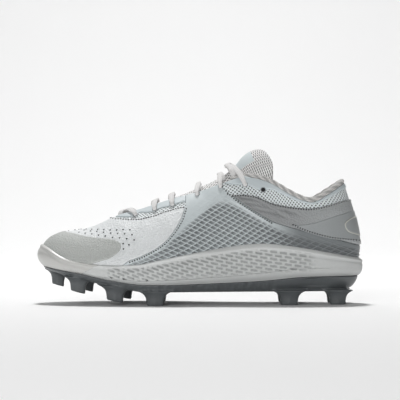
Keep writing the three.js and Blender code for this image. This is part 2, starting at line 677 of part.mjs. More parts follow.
function makeOutsole() {
  const cuts = wasm.Manifold.union([...makeGrooves(), ...makeScoops()]);
  const below = body((turn) => {
    const x = lastPoint(turn, 0).x;
    return [edgePoint(turn, plateReach(x), -STUD_HEIGHT), edgePoint(turn, plateReach(x), plateTop(x))];
  });
  const studs = wasm.Manifold.union(STUDS.map(makeStud)).intersect(below);
  return makePlate().subtract(cuts).add(studs);
}

/** The diamond openings of the cage, in rows that are half a step apart. */
function makeDiamonds(inside) {
  const cuts = [];
  const shape = (x, z) => [[-0.5, 0], [0, -0.5], [0.5, 0], [0, 0.5]].map(([u, v]) =>
    [alongOf(x + u * DIAMOND_LENGTH), upOf(z + v * DIAMOND_HEIGHT)]);
  for (let row = 0; row * (LATTICE_RISE / 2) < levelOf(1); row += 1) {
    const z = row * (LATTICE_RISE / 2);
    const start = row % 2 ? LATTICE_STEP / 2 : 0;
    for (let x = -LENGTH / 2 + start; x < LENGTH / 2; x += LATTICE_STEP) {
      if (inside(x, z)) cuts.push(prism(shape(x, z)));
    }
  }
  return wasm.Manifold.union(cuts);
}

/** Whether a point lies inside an outline, at least a margin from its edge. */
function deepInside(outline, x, z, margin) {
  let inside = false;
  let nearest = Infinity;
  const at = new THREE.Vector3(x, 0, z);
  outline.forEach(([along, up], i) => {
    const [nextAlong, nextUp] = outline[(i + 1) % outline.length];
    const a = new THREE.Vector3(xOf(along), 0, levelOf(up));
    const b = new THREE.Vector3(xOf(nextAlong), 0, levelOf(nextUp));
    const closest = new THREE.Line3(a, b).closestPointToPoint(at, true, new THREE.Vector3());
    nearest = Math.min(nearest, closest.distanceTo(at));
    if ((a.z > z) !== (b.z > z) && x < a.x + ((b.x - a.x) * (z - a.z)) / (b.z - a.z)) inside = !inside;
  });
  return inside && nearest > margin;
}

/** The cage: a saddle over the instep and an open diamond lattice down to the sole and round the heel. */
function makeCage(layer) {
  const front = shifted(VAMP_BACK, 2 * GAP, 0);
  const outline = [
    ...SADDLE_FRONT,
    ...front.slice(1, -1),
    ...lipLine(0.285, 1.02),
    ...CAGE_HEEL.slice(1).reverse(),
    ...SADDLE_BACK.slice().reverse(),
  ];
  const lattice = [...front.slice(3, -1), ...lipLine(0.3, 0.92, 0), ...LATTICE_TOP];
  const room = (x, z) => deepInside(lattice, x, z, LATTICE_MARGIN);
  return overlay(layer, outline).subtract(makeDiamonds(room));
}

function makeVamp(layer) {
  const outline = [
    [FAR_TOE, FAR_BELOW], ...lipLine(0.0, 0.27), ...shifted(VAMP_BACK, -GAP, 0).slice(1, -1).reverse(),
    ...shifted(VAMP_TOP, 0, -GAP).reverse(), [THROAT_TOE, 0.557], [FAR_TOE, FAR_ABOVE],
  ];
  return overlay(layer, outline);
}

function makeEyestay(layer, side) {
  return overlay(layer, [
    ...shifted(EYESTAY_LOW, 0, GAP), [0.4535, 0.567], [0.4535, FAR_ABOVE], [0.226, FAR_ABOVE],
  ], side);
}

function makeCollarBand(layer) {
  return overlay(layer, [
    ...shifted(BAND_LOW, 2 * GAP, GAP), [FAR_HEEL, 0.727], [FAR_HEEL, FAR_ABOVE], [0.563, FAR_ABOVE],
  ]);
}

function makeQuarter(layer) {
  return overlay(layer, [
    ...QUARTER_TOP, [FAR_HEEL, 0.647], ...shifted(CAGE_HEEL, 2 * GAP, 2 * GAP).reverse(),
    ...shifted(SADDLE_BACK.slice(2, -1), 3 * GAP, GAP).reverse(),
  ]);
}

/** The tongue: under the throat it follows the last's inside, and past the laces it is a padded top. */
function makeTongue() {
  const half = 4;
  const rows = TONGUE.map(({ along, top, thick, width, back }) => {
    const line = (middle, edge) => {
      const [outer, inner] = [-1, 1].map((side) => Array.from({ length: half + 1 }, (_, j) => {
        const turn = side * turnAtCrest(along - back * (1 - j / half));
        const from = tongueLift(turn, (TONGUE_WIDTH / 2) * width);
        const part = THREE.MathUtils.smoothstep(j / half, PAD_START, 1);
        return skin(turn, mix(from, QUARTER_TURN, j / half), mix(edge, middle, part));
      }));
      return [...outer, ...inner.slice(0, -1).reverse()];
    };
    const edge = -COLLAR_ROLL / 2 - GAP;
    return { top: line(TONGUE_PAD * top, edge), low: line(TONGUE_PAD * (top - thick), edge - TONGUE_EDGE) };
  });
  const faces = new Faces();
  faces.sheet(rows.map((r) => r.top));
  faces.sheet(rows.map((r) => r.low), true);
  faces.sheet(rows.map((r) => [r.low[0], r.top[0]]));
  faces.sheet(rows.map((r) => [r.top.at(-1), r.low.at(-1)]));
  faces.sheet([rows[0].low, rows[0].top]);
  faces.sheet([rows.at(-1).top, rows.at(-1).low]);
  return faces.solid();
}

/** The lift at a distance across from the top line. */
function tongueLift(turn, distance) {
  let low = 0;
  let high = QUARTER_TURN;
  for (let i = 0; i < BISECTIONS; i += 1) {
    const middle = (low + high) / 2;
    const p = lastPoint(turn, middle);
    if (Math.abs(p.y - BALL_WIDTH * read(LAST, "crest", alongOf(p.x))) > distance) low = middle;
    else high = middle;
  }
  return high;
}

function makeInsole() {
  return body((turn) => {
    const { z } = lastPoint(turn, 0);
    return INSOLE_RIM.map(({ inset, up }) => edgePoint(turn, -inset, z + INSOLE * up));
  });
}

/** A cord with an oval section along points that each have an outward direction. */
function cord(points, outs, width, thickness, sides = 6) {
  const rings = points.map((p, i) => {
    const next = points[Math.min(i + 1, points.length - 1)];
    const ahead = next.clone().sub(points[Math.max(i - 1, 0)]).normalize();
    const across = ahead.clone().cross(outs[i]).normalize();
    const up = across.clone().cross(ahead).normalize();
    return Array.from({ length: sides }, (_, k) => {
      const angle = (2 * Math.PI * k) / sides;
      return p.clone().addScaledVector(across, (Math.cos(angle) * width) / 2)
        .addScaledVector(up, (Math.sin(angle) * thickness) / 2);
    });
  });
  const faces = new Faces();
  faces.sheet(rings.map((ring) => [...ring, ring[0]]));
  fan(faces, rings[0], false);
  fan(faces, rings.at(-1), true);
  return faces.solid();
}

/** The knitted roll that stands on the collar's edge, from one side of the throat round the heel. */
function makeCollarRoll() {
  const start = turnAtCrest(COLLAR_START);
  const ends = [turnAtCrest(COLLAR_START - 0.05), turnAtCrest(COLLAR_START - 0.022)];
  const inner = [...ends, ...innerTurns.filter((t) => t >= start)];
  const turns = [...inner, ...inner.slice(0, -1).reverse().map((t) => -t)];
  const outs = [];
  const points = turns.map((turn) => {
    const edge = edgeLift(turn);
    const up = lastPoint(turn, edge).sub(lastPoint(turn, edge - 20 * TINY)).normalize();
    outs.push(outwardAt(turn, edge));
    return skin(turn, edge, UPPER_WALL / 2).addScaledVector(up, COLLAR_ROLL / 2 + 3 * GAP);
  });
  return cord(points, outs, COLLAR_ROLL, COLLAR_ROLL);
}

/** Two lace bars that cross over the tongue, each to an eyelet on its own side. */
function makeLaceRow({ from, to, down, over }) {
  const bars = [-1, 1].map((side) => {
    const startTurn = -side * turnAtCrest(from);
    const startLift = mix(edgeLift(startTurn), QUARTER_TURN, 0.12);
    const endLift = liftBeside(side * turnAtCrest(to), EYELET_DEPTH * down);
    const crossing = (QUARTER_TURN - startLift) / (2 * QUARTER_TURN - startLift - endLift);
    const outs = [];
    const points = Array.from({ length: LACE_STEPS + 1 }, (_, i) => {
      const t = i / LACE_STEPS;
      const past = Math.max(0, (t - crossing) / (1 - crossing));
      const rising = t < crossing;
      const turn = (rising ? -side : side) * turnAtCrest(mix(from, to, past));
      const lift = rising ? mix(startLift, QUARTER_TURN, t / crossing) : mix(QUARTER_TURN, endLift, past);
      const edge = edgeLift(turn);
      const middle = THREE.MathUtils.smoothstep((lift - edge) / (QUARTER_TURN - edge), 0, 1);
      const height = UPPER_WALL + OVERLAY + LACE_LIFT + LACE_THICKNESS / 2;
      outs.push(outwardAt(turn, lift));
      return skin(turn, lift, height + TONGUE_PAD * over * middle);
    });
    return cord(points, outs, LACE_WIDTH, LACE_THICKNESS);
  });
  return bars[0].add(bars[1]);
}

// Colours of the materials
const finish = (color, roughness) => new THREE.MeshStandardMaterial({ color, roughness, metalness: 0 });
const finishes = {
  outsole: finish(0x6e7475, 0.45),
  foam: finish(0xb4b7b6, 0.6),
  bumper: finish(0xd5d4d1, 0.5),
  mesh: finish(0xb9c4c7, 0.9),
  leather: finish(0xd2d6d7, 0.55),
  film: finish(0xb5bab7, 0.5),
  cage: finish(0xb6c1c4, 0.45),
  quarter: finish(0x9a9d9d, 0.6),
  counter: finish(0x8f9596, 0.55),
  patch: finish(0x8a8f8f, 0.5),
  knit: finish(0xc9c7c4, 0.95),
  lace: finish(0xc3c1bf, 0.85),
};

const shoe = new THREE.Group();

/** Adds a solid to the shoe as a named mesh. */
function piece(name, solid, material) {
  const mesh = new THREE.Mesh(geometryOf(solid), material);
  mesh.name = name;
  shoe.add(mesh);
}

const layerOne = wall(UPPER_WALL + GAP, UPPER_WALL + GAP + OVERLAY);
const secondInner = UPPER_WALL + OVERLAY + 2 * GAP;
const layerTwo = wall(secondInner, secondInner + CAP_FILM);
const layerThree = wall(secondInner + CAP_FILM + GAP, secondInner + 2 * CAP_FILM + GAP);
const wholeMidsole = makeWholeMidsole();
const eyelets = wasm.Manifold.union(eyeletPlaces().map(({ turn, lift }) => eyeletHole(turn, lift)));

piece("outsole", makeOutsole(), finishes.outsole);
const bumperRoom = bumperBlock(0).subtract(core(BUMPER_BACKING));
const bumper = wholeMidsole.intersect(bumperBlock(GAP)).subtract(core(BUMPER_BACKING + GAP));
piece("midsole", wholeMidsole.subtract(bumperRoom), finishes.foam);
piece("toe_bumper", bumper, finishes.bumper);
piece("upper", makeUpper(), finishes.mesh);
piece("vamp", makeVamp(layerOne), finishes.leather);
piece("toe_cap", overlay(layerTwo, [...TOE_CAP_TOP, ...lipLine(0.165, -0.02)]), finishes.film);
piece("eyestay_outer", makeEyestay(layerOne, -1).subtract(eyelets), finishes.cage);
piece("eyestay_inner", makeEyestay(layerOne, 1).subtract(eyelets), finishes.cage);
piece("cage", makeCage(layerOne).subtract(eyelets), finishes.cage);
piece("quarter", makeQuarter(layerOne), finishes.quarter);
piece("collar_band", makeCollarBand(layerOne).subtract(eyelets), finishes.cage);
piece("heel_counter", overlay(layerTwo, COUNTER), finishes.counter);
piece("heel_patch", overlay(layerThree, PATCH), finishes.patch);
piece("collar_roll", makeCollarRoll(), finishes.knit);
piece("tongue", makeTongue(), finishes.knit);
piece("insole", makeInsole(), finishes.knit);
LACE_ROWS.forEach((row, i) => piece(`lace_row_${i + 1}`, makeLaceRow(row), finishes.lace));

// The origin is on the floor under the middle of the shoe
const box = new THREE.Box3().setFromObject(shoe);
const middle = box.getCenter(new THREE.Vector3());
shoe.position.set(-middle.x, -middle.y, -box.min.z);

export default shoe;
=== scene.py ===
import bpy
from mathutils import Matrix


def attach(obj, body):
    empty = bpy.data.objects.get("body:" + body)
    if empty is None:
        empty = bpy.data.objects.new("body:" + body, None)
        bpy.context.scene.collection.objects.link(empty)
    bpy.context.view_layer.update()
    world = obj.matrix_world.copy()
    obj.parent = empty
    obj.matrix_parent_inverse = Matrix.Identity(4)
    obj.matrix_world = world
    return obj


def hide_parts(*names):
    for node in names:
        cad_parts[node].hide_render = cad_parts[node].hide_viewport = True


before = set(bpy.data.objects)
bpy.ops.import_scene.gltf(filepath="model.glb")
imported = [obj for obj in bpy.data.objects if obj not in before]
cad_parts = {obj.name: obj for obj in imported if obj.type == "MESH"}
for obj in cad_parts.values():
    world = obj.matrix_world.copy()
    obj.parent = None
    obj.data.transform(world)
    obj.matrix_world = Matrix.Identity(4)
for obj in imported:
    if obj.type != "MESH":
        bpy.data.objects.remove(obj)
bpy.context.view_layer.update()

import logging
import math
from collections.abc import Callable
from dataclasses import dataclass
from enum import Enum

import bpy
import numpy as np
from mathutils import Vector, kdtree

log = logging.getLogger("cleat")

# Millimetres of the shoe to metres of the frame, whose origin is under the middle of the shoe
MM = 0.001
ORIGIN = np.array([0.282, -1.378, 0.0])
QUARTER_TURN = math.pi / 2
# Small turns and lifts, in radians
TINY = 1e-3
EDGE_STEP = 0.02
HALVINGS = 30
# Space between layers, and the thickness of the upper's wall, its panels and its film, in millimetres
GAP = 0.3
WALL = 2.0
PANEL = 1.1
FILM = 0.55
# Share of its width that a cord keeps at its very ends
CORD_END = 0.02
# Levels well below and above the upper's sides, in millimetres
BELOW = 10.0
ABOVE = 190.0
# Distance at which a rim's painted shade and highlight have ended
FAR = 9.0

# Last: along, half width, centre, crest, ridge, squareness. Widths are shares of the ball's width and
# the ridge one of the instep's height.
LAST_ROWS = np.array([
    [0.00, 0.455, 0.093, 0.093, 0.240, 3.40],
    [0.05, 0.475, 0.088, 0.088, 0.260, 3.10],
    [0.10, 0.500, 0.082, 0.080, 0.286, 2.70],
    [0.15, 0.517, 0.072, 0.072, 0.325, 2.45],
    [0.20, 0.526, 0.057, 0.062, 0.408, 2.25],
    [0.25, 0.528, 0.042, 0.052, 0.515, 2.15],
    [0.30, 0.526, 0.026, 0.044, 0.585, 2.10],
    [0.40, 0.500, 0.000, 0.032, 0.6965, 2.00],
    [0.50, 0.423, -0.015, 0.020, 0.802, 2.00],
    [0.60, 0.371, -0.021, 0.010, 0.923, 2.25],
    [0.70, 0.364, -0.010, 0.000, 1.030, 2.60],
    [0.80, 0.387, 0.000, 0.000, 1.030, 3.00],
    [0.90, 0.407, 0.000, 0.000, 1.020, 3.20],
    [1.00, 0.381, 0.000, 0.000, 1.020, 3.20],
])
# Sole: along, then shares of the outsole's side, the foam, the midsole's wall and its thickness
SOLE_ROWS = np.array([
    [0.00, 0.240, 0.50, 0.650, 0.72],
    [0.05, 0.275, 0.50, 0.488, 0.78],
    [0.10, 0.350, 0.54, 0.288, 0.86],
    [0.15, 0.435, 0.58, 0.236, 0.92],
    [0.20, 0.430, 0.62, 0.280, 0.97],
    [0.30, 0.470, 0.67, 0.444, 1.00],
    [0.40, 0.480, 0.73, 0.674, 1.00],
    [0.50, 0.540, 0.79, 0.864, 1.00],
    [0.60, 0.620, 0.87, 1.004, 0.95],
    [0.65, 0.665, 0.92, 1.030, 0.90],
    [0.70, 0.735, 0.96, 0.996, 0.85],
    [0.80, 0.940, 1.00, 0.728, 0.84],
    [0.90, 1.000, 1.00, 0.484, 0.90],
    [1.00, 1.000, 1.00, 0.268, 1.10],
])
# Midsole's side: rise from its bottom edge to its lip, and how far out it stands
SIDE_ROWS = np.array([
    [0.00, 0.30], [0.10, 0.68], [0.32, 0.98], [0.60, 1.00], [0.82, 0.78], [0.95, 0.45], [1.00, 0.18],
])
COLLAR_ROWS = np.array([
    [0.640, 1.060], [0.690, 1.020], [0.725, 0.963], [0.762, 0.876], [0.800, 0.799],
    [0.835, 0.762], [0.857, 0.785], [0.884, 0.850], [0.913, 0.925], [0.940, 1.000],
])
THROAT_ROWS = np.array([[0.224, 0.64], [0.35, 0.78], [0.50, 0.94], [0.65, 1.12]])
# Tongue: along, top and thickness as shares of its pad, width as one of its width, and its lag
TONGUE_ROWS = np.array([
    [0.200, -0.14, 0.25, 0.40, 0.000],
    [0.240, -0.12, 0.30, 0.60, 0.000],
    [0.300, -0.08, 0.40, 0.80, 0.000],
    [0.400, -0.06, 0.40, 0.95, 0.000],
    [0.500, -0.05, 0.40, 1.00, 0.000],
    [0.570, 0.00, 0.45, 1.00, 0.010],
    [0.610, 0.35, 0.70, 1.00, 0.020],
    [0.645, 0.85, 1.05, 1.00, 0.035],
    [0.680, 0.95, 1.10, 1.00, 0.040],
    [0.704, 0.60, 0.80, 1.00, 0.040],
    [0.712, 0.10, 0.35, 0.98, 0.040],
])

# Lines seen from the side: along, and up as a share of the instep's height over the footbed
VAMP_TOP = [[0.2, 0.434], [0.226, 0.429], [0.258, 0.421], [0.294, 0.414], [0.343, 0.434], [0.385, 0.476],
            [0.405, 0.497], [0.446, 0.531], [0.455, 0.527]]
VAMP_BACK = [[0.455, 0.527], [0.4535, 0.493], [0.4405, 0.397], [0.4195, 0.301], [0.397, 0.221],
             [0.365, 0.152], [0.3235, 0.09], [0.292, 0.058], [0.271, 0.017], [0.255, -0.03]]
EYESTAY_LOW = [[0.226, 0.433], [0.262, 0.429], [0.3, 0.437], [0.318, 0.469], [0.34, 0.47],
               [0.36, 0.481], [0.385, 0.513], [0.41, 0.529], [0.446, 0.565], [0.458, 0.572]]
SADDLE_FRONT = [[0.4575, 0.757], [0.4575, 0.527]]
SADDLE_BACK = [[0.5545, 0.807], [0.555, 0.777], [0.6, 0.63], [0.65, 0.525], [0.7165, 0.406]]
CAGE_HEEL = [[0.7165, 0.406], [0.77, 0.357], [0.892, 0.261], [1.02, 0.162]]
QUARTER_TOP = [[0.58, 0.66], [0.6, 0.642], [0.632, 0.643], [0.672, 0.627], [0.705, 0.584],
               [0.745, 0.551], [0.796, 0.53], [0.833, 0.525], [0.87, 0.542], [0.925, 0.587],
               [0.96, 0.612], [1.03, 0.647]]
BAND_LOW = [[0.561, 0.787], [0.576, 0.742], [0.6, 0.732], [0.65, 0.722], [0.672, 0.692], [0.692, 0.677],
            [0.712, 0.692], [0.75, 0.647], [0.795, 0.587], [0.835, 0.562], [0.868, 0.587],
            [0.9, 0.637], [0.95, 0.717], [1.03, 0.74]]
COUNTER = [[0.774, 0.371], [0.834, 0.388], [0.906, 0.454], [0.965, 0.503], [1.04, 0.54]]
COUNTER_LOW = [[1.04, 0.187], [0.965, 0.224], [0.888, 0.255], [0.816, 0.316], [0.774, 0.371]]
PATCH = [[1.04, 0.472], [0.977, 0.45], [0.948, 0.422], [0.933, 0.379], [0.94, 0.3235], [0.959, 0.296],
         [0.992, 0.267], [1.04, 0.25]]
TOE_CAP_TOP = [[-0.04, 0.3], [0.03, 0.297], [0.072, 0.29], [0.117, 0.271], [0.159, 0.252], [0.2, 0.24],
               [0.2325, 0.236], [0.2535, 0.221], [0.265, 0.19], [0.262, 0.14], [0.249, 0.102],
               [0.2325, 0.071], [0.2, 0.045], [0.165, 0.02]]
BUMPER_SEAM = [[0.192, 0.017], [0.148, -0.053]]

Points = np.ndarray
Line = list[list[float]] | tuple[tuple[float, ...], ...]


class Side(Enum):
    """The two sides of the shoe, by the sign of Y."""

    OUTER = -1
    INNER = 1
    BOTH = 0


def curve(rows: Points, column: int, at: Points) -> Points:
    """Reads a column of a table on a smooth curve through its rows.

    Args:
        rows: The table, whose first column is the key.
        column: The column to read.
        at: Keys to read it at; outside the table its ends hold.

    Returns:
        The values, in the shape of the keys.
    """
    keys = rows[:, 0]
    values = rows[:, column]
    ahead = np.minimum(np.arange(len(keys)) + 1, len(keys) - 1)
    behind = np.maximum(np.arange(len(keys)) - 1, 0)
    slopes = (values[ahead] - values[behind]) / (keys[ahead] - keys[behind])
    place = np.clip(at, keys[0], keys[-1])
    i = np.clip(np.searchsorted(keys, place, side="right") - 1, 0, len(keys) - 2)
    step = keys[i + 1] - keys[i]
    t = (place - keys[i]) / step
    near = (2 * t**3 - 3 * t**2 + 1) * values[i] + (t**3 - 2 * t**2 + t) * step * slopes[i]
    far = (3 * t**2 - 2 * t**3) * values[i + 1] + (t**3 - t**2) * step * slopes[i + 1]
    return near + far


def mix(a: Points, b: Points, t: Points) -> Points:
    """Blends from a to b."""
    return a + (b - a) * t


def smoothstep(low: float, high: float, at: Points) -> Points:
    """Rises softly from 0 at low to 1 at high."""
    t = np.clip((at - low) / (high - low), 0.0, 1.0)
    return t * t * (3 - 2 * t)


def bump(at: Points, middle: float, width: float) -> Points:
    """A soft bump of height one."""
    return np.exp(-(((at - middle) / width) ** 2))


def travelled(path: Points) -> Points:
    """Distance along a path to each of its points."""
    return np.concatenate([[0], np.cumsum(np.linalg.norm(np.diff(path, axis=0), axis=1))])


def read_at(at: Points, far: Points, path: Points) -> Points:
    """Places on a path at distances along it."""
    return np.stack([np.interp(at, far, path[:, k]) for k in range(path.shape[1])], axis=1)


def eased(path: Points, times: int) -> Points:
    """A path with its bends softened a number of times; its ends stay.

    Args:
        path: The path.
        times: How many times it is softened.

    Returns:
        The new path.
    """
    path = path.copy()
    for _ in range(times):
        path[1:-1] = (path[:-2] + 2 * path[1:-1] + path[2:]) / 4
    return path


def narrowed(holds: Callable[[Points], Points], shape: tuple[int, ...]) -> tuple[Points, Points]:
    """Finds the lifts at which a test stops to hold, from the bottom edge up.

    Args:
        holds: The test, from lifts to true or false.
        shape: Shape of the array of lifts.

    Returns:
        The highest lifts at which it held and the lowest at which it did not.
    """
    low = np.zeros(shape)
    high = np.full(shape, QUARTER_TURN)
    for _ in range(HALVINGS):
        middle = (low + high) / 2
        held = holds(middle)
        low = np.where(held, middle, low)
        high = np.where(held, high, middle)
    return low, high


def unit(vectors: Points) -> Points:
    """Scales each vector to length one."""
    return vectors / np.maximum(np.linalg.norm(vectors, axis=-1, keepdims=True), 1e-9)


@dataclass(frozen=True)
class Last:
    """The form inside the shoe and the levels of the sole under it, in millimetres."""

    length: float = 298.0
    ball_width: float = 95.0
    instep: float = 100.0
    heel_height: float = 76.0
    toe_spring: float = 21.5
    heel_lean: float = 9.5
    stud_height: float = 12.0
    outsole_side: float = 14.0
    foam: float = 8.0
    wall_height: float = 25.0
    wall_thickness: float = 5.0
    swell: float = 2.7
    throat_width: float = 36.0
    spring_start: float = 0.332
    spring_power: float = 1.3
    toe_inset: float = 0.028
    heel_inset: float = 0.0275
    crest_toe: float = 0.148
    crest_heel: float = 0.852
    throat_toe: float = 0.224
    throat_round: float = 0.045
    throat_heel: float = 0.69
    lean_start: float = 0.6
    lean_from: float = 0.2
    lean_power: float = 1.2
    end_power: float = 2.5
    swell_peak: float = 0.25

    def along(self, x: Points) -> Points:
        """Share of the length at x."""
        return x / self.length + 0.5

    def x_of(self, along: Points) -> Points:
        """The x at a share of the length."""
        return (along - 0.5) * self.length

    def spring(self, x: Points) -> Points:
        """How far the sole rises towards the toe."""
        return self.toe_spring * np.maximum(0, 1 - self.along(x) / self.spring_start) ** self.spring_power

    def plate_bottom(self, x: Points) -> Points:
        """Height of the outsole plate's underside."""
        return self.stud_height + self.spring(x)

    def plate_top(self, x: Points) -> Points:
        """Height of the outsole plate's upper edge."""
        return self.plate_bottom(x) + self.outsole_side * curve(SOLE_ROWS, 1, self.along(x))

    def bed(self, x: Points) -> Points:
        """Height of the footbed."""
        return self.plate_top(x) + GAP + self.foam * curve(SOLE_ROWS, 2, self.along(x))

    def wall_top(self, x: Points) -> Points:
        """Height of the midsole's lip."""
        return self.bed(x) + self.wall_height * curve(SOLE_ROWS, 3, self.along(x))

    def wall_out(self, x: Points) -> Points:
        """Thickness of the midsole's side."""
        return self.wall_thickness * curve(SOLE_ROWS, 4, self.along(x))

    @property
    def heel_bed(self) -> float:
        """Height of the footbed at the heel."""
        return float(self.bed(np.array(self.x_of(1.0))))

    def collar(self, x: Points) -> Points:
        """Height of the collar's edge."""
        return self.heel_bed + self.heel_height * curve(COLLAR_ROWS, 1, self.along(x))

    def throat_half(self, x: Points) -> Points:
        """Half the throat's opening.

        Args:
            x: Places along the shoe.

        Returns:
            The distances; 0 where the throat is closed.
        """
        behind = self.along(x) - self.throat_toe
        t = np.clip(behind / self.throat_round, 0.0, 1.0)
        half = 0.5 * self.throat_width * curve(THROAT_ROWS, 1, self.along(x)) * np.sqrt(t * (2 - t))
        return np.where((behind <= TINY / 10) | (self.along(x) > self.throat_heel), 0.0, half)

    def crest_y(self, x: Points) -> Points:
        """Where the top line lies across the shoe."""
        return self.ball_width * curve(LAST_ROWS, 3, self.along(x))

    def point(self, turn: Points, lift: Points) -> Points:
        """Points on the last's skin.

        Args:
            turn: Angle round the shoe: 0 at the toe, half a turn at the heel, negative on the outer side.
            lift: From the bottom edge, 0, to the top line, a quarter turn.

        Returns:
            An array of x, y, z.
        """
        turn, lift = np.broadcast_arrays(np.asarray(turn, float), np.asarray(lift, float))
        side = np.where(np.sin(turn) < 0, -1.0, 1.0)
        share = (1 - np.cos(turn)) / 2
        foot_x = mix(self.x_of(self.toe_inset), self.x_of(1 - self.heel_inset), share)
        crest_x = mix(self.x_of(self.crest_toe), self.x_of(self.crest_heel), share)
        rounding = np.maximum(0, 1 - np.abs(2 * share - 1) ** self.end_power) ** (1 / self.end_power)
        at = self.along(foot_x)
        foot_y = self.ball_width * (curve(LAST_ROWS, 2, at) + side * curve(LAST_ROWS, 1, at) * rounding)
        crest_y = self.crest_y(crest_x)
        square = curve(LAST_ROWS, 5, at)
        c = np.maximum(0, np.cos(lift))
        s = np.maximum(0, np.sin(lift))
        reach = (c**square + s**square) ** (-1 / square)
        rise = s * reach
        bulge = self.swell * (rise / self.swell_peak) * np.exp(1 - rise / self.swell_peak) * (1 - rise**2)
        out_x = foot_x - crest_x
        out_y = foot_y - crest_y
        far = np.hypot(out_x, out_y)
        grow = (far * c * reach + bulge) / far
        x = crest_x + out_x * grow
        height = self.instep * curve(LAST_ROWS, 4, self.along(x))
        lean = np.maximum(0, rise - self.lean_from) ** self.lean_power
        back = np.clip((self.along(x) - self.lean_start) / (1 - self.lean_start), 0, 1) ** 2
        full = (self.heel_height / self.instep - self.lean_from) ** self.lean_power
        z = self.bed(x) + GAP + height * rise
        return np.stack([x - self.heel_lean * back * lean / full, crest_y + out_y * grow, z], axis=-1)

    def outward(self, turn: Points, lift: Points) -> Points:
        """The skin's outward directions.

        Args:
            turn: Angle round the shoe.
            lift: Lift on the skin.

        Returns:
            Unit vectors, level at the bottom edge.
        """
        up = np.clip(lift, TINY, QUARTER_TURN - 30 * TINY)
        turning = self.point(turn + TINY, up) - self.point(turn - TINY, up)
        rising = self.point(turn, up + TINY) - self.point(turn, up - TINY)
        out = unit(np.cross(rising, turning))
        level = out * np.array([1.0, 1.0, 0.0])
        return np.where((np.asarray(lift) < TINY)[..., None], unit(level), out)

    def skin(self, turn: Points, lift: Points, offset: Points = 0.0) -> Points:
        """Points at a distance from the last's skin."""
        turn, lift = np.broadcast_arrays(np.asarray(turn, float), np.asarray(lift, float))
        return self.point(turn, lift) + self.normal(turn, lift) * np.asarray(offset)[..., None]

    def normal(self, turn: Points, lift: Points) -> Points:
        """Outward directions, even across the top line.

        Args:
            turn: Angle round the shoe.
            lift: Lift on the skin.

        Returns:
            Unit vectors.
        """
        out = self.outward(turn, lift)
        other = self.outward(-turn, lift)
        at_top = np.asarray(lift) > QUARTER_TURN - TINY
        return np.where(at_top[..., None], unit(out + other), out)

    def edge(self, turn: Points) -> Points:
        """The lift at which the upper ends: at the collar, the throat or the top line.

        Args:
            turn: Angle round the shoe.

        Returns:
            The lifts.
        """

        def inside(lift: Points) -> Points:
            """Whether the skin at a lift is part of the upper.

            Args:
                lift: The lifts.

            Returns:
                True where it is.
            """
            p = self.point(turn, lift)
            clear = np.abs(p[..., 1] - self.crest_y(p[..., 0])) >= self.throat_half(p[..., 0])
            return clear & (p[..., 2] <= self.collar(p[..., 0]))

        turn = np.asarray(turn, float)
        top = np.full(turn.shape, QUARTER_TURN)
        closed = inside(top) & (self.throat_half(self.point(turn, top)[..., 0]) == 0)
        return np.where(closed, QUARTER_TURN, narrowed(inside, turn.shape)[0])

    def turn_at_crest(self, along: Points) -> Points:
        """The turn whose top line is at a share of the length."""
        share = (np.asarray(along) - self.crest_toe) / (self.crest_heel - self.crest_toe)
        return np.arccos(1 - 2 * np.clip(share, 0, 1))

    def turn_at_foot(self, along: Points) -> Points:
        """The turn whose bottom edge is at a share of the length."""
        share = (np.asarray(along) - self.toe_inset) / (1 - self.heel_inset - self.toe_inset)
        return np.arccos(1 - 2 * np.clip(share, 0, 1))

    def edge_point(self, turn: Points, offset: Points, z: Points) -> Points:
        """Points beside the last's bottom edge, at a height.

        Args:
            turn: Angle round the shoe.
            offset: Distance from the edge.
            z: The height.

        Returns:
            The points.
        """
        p = self.skin(turn, 0.0, offset)
        p[..., 2] = z
        return p

    def side_point(self, turn: Points, z: Points, out: Points) -> Points:
        """Points on the midsole's side, at a height and a distance from the upper.

        Args:
            turn: Angle round the shoe.
            z: The height.
            out: The distance.

        Returns:
            The points.
        """
        turn, z, out = np.broadcast_arrays(turn, z, out)
        foot = self.point(turn, 0.0)
        at = self.along(foot[..., 0])
        square = curve(LAST_ROWS, 5, at)
        rise = np.clip((z - foot[..., 2]) / (self.instep * curve(LAST_ROWS, 4, at)), 0.0, 0.98)
        lift = np.arctan2(rise, (1 - rise**square) ** (1 / square))
        above = self.skin(turn, lift, WALL + GAP + out)
        below = self.edge_point(turn, WALL + GAP + out, z)
        return np.where((z <= foot[..., 2])[..., None], below, above)

    def turns(self, step: float) -> Points:
        """Turns from heel to heel by way of the toe, at even steps along the bottom edge.

        Args:
            step: Space between turns, in millimetres.

        Returns:
            The turns, from minus to plus half a turn.
        """
        fine = np.linspace(-math.pi, math.pi, 6001)
        s = travelled(self.skin(fine, 0.0, 3.0))
        return np.interp(np.linspace(0, s[-1], int(s[-1] / step)), s, fine)


LAST = Last()


def drawn(line: Line, step: float = 0.8) -> Points:
    """A smooth line through given points, from shares to millimetres seen from the side.

    Args:
        line: The points, in shares.
        step: Space between the new points.

    Returns:
        Rows of x and z.
    """
    p = np.array(line, float)
    p = np.stack([LAST.x_of(p[:, 0]), LAST.heel_bed + p[:, 1] * LAST.instep], axis=1)
    return smooth_line(p, step)


def smooth_line(points: Points, step: float = 0.8) -> Points:
    """A smooth line through points, at even steps.

    Args:
        points: The given points.
        step: Space between the new points.

    Returns:
        The new points.
    """
    p = np.asarray(points, float)
    s = travelled(p)
    table = np.column_stack([s, p])
    at = np.linspace(0, s[-1], max(2, int(s[-1] / step) + 1))
    return np.stack([curve(table, k + 1, at) for k in range(p.shape[1])], axis=1)


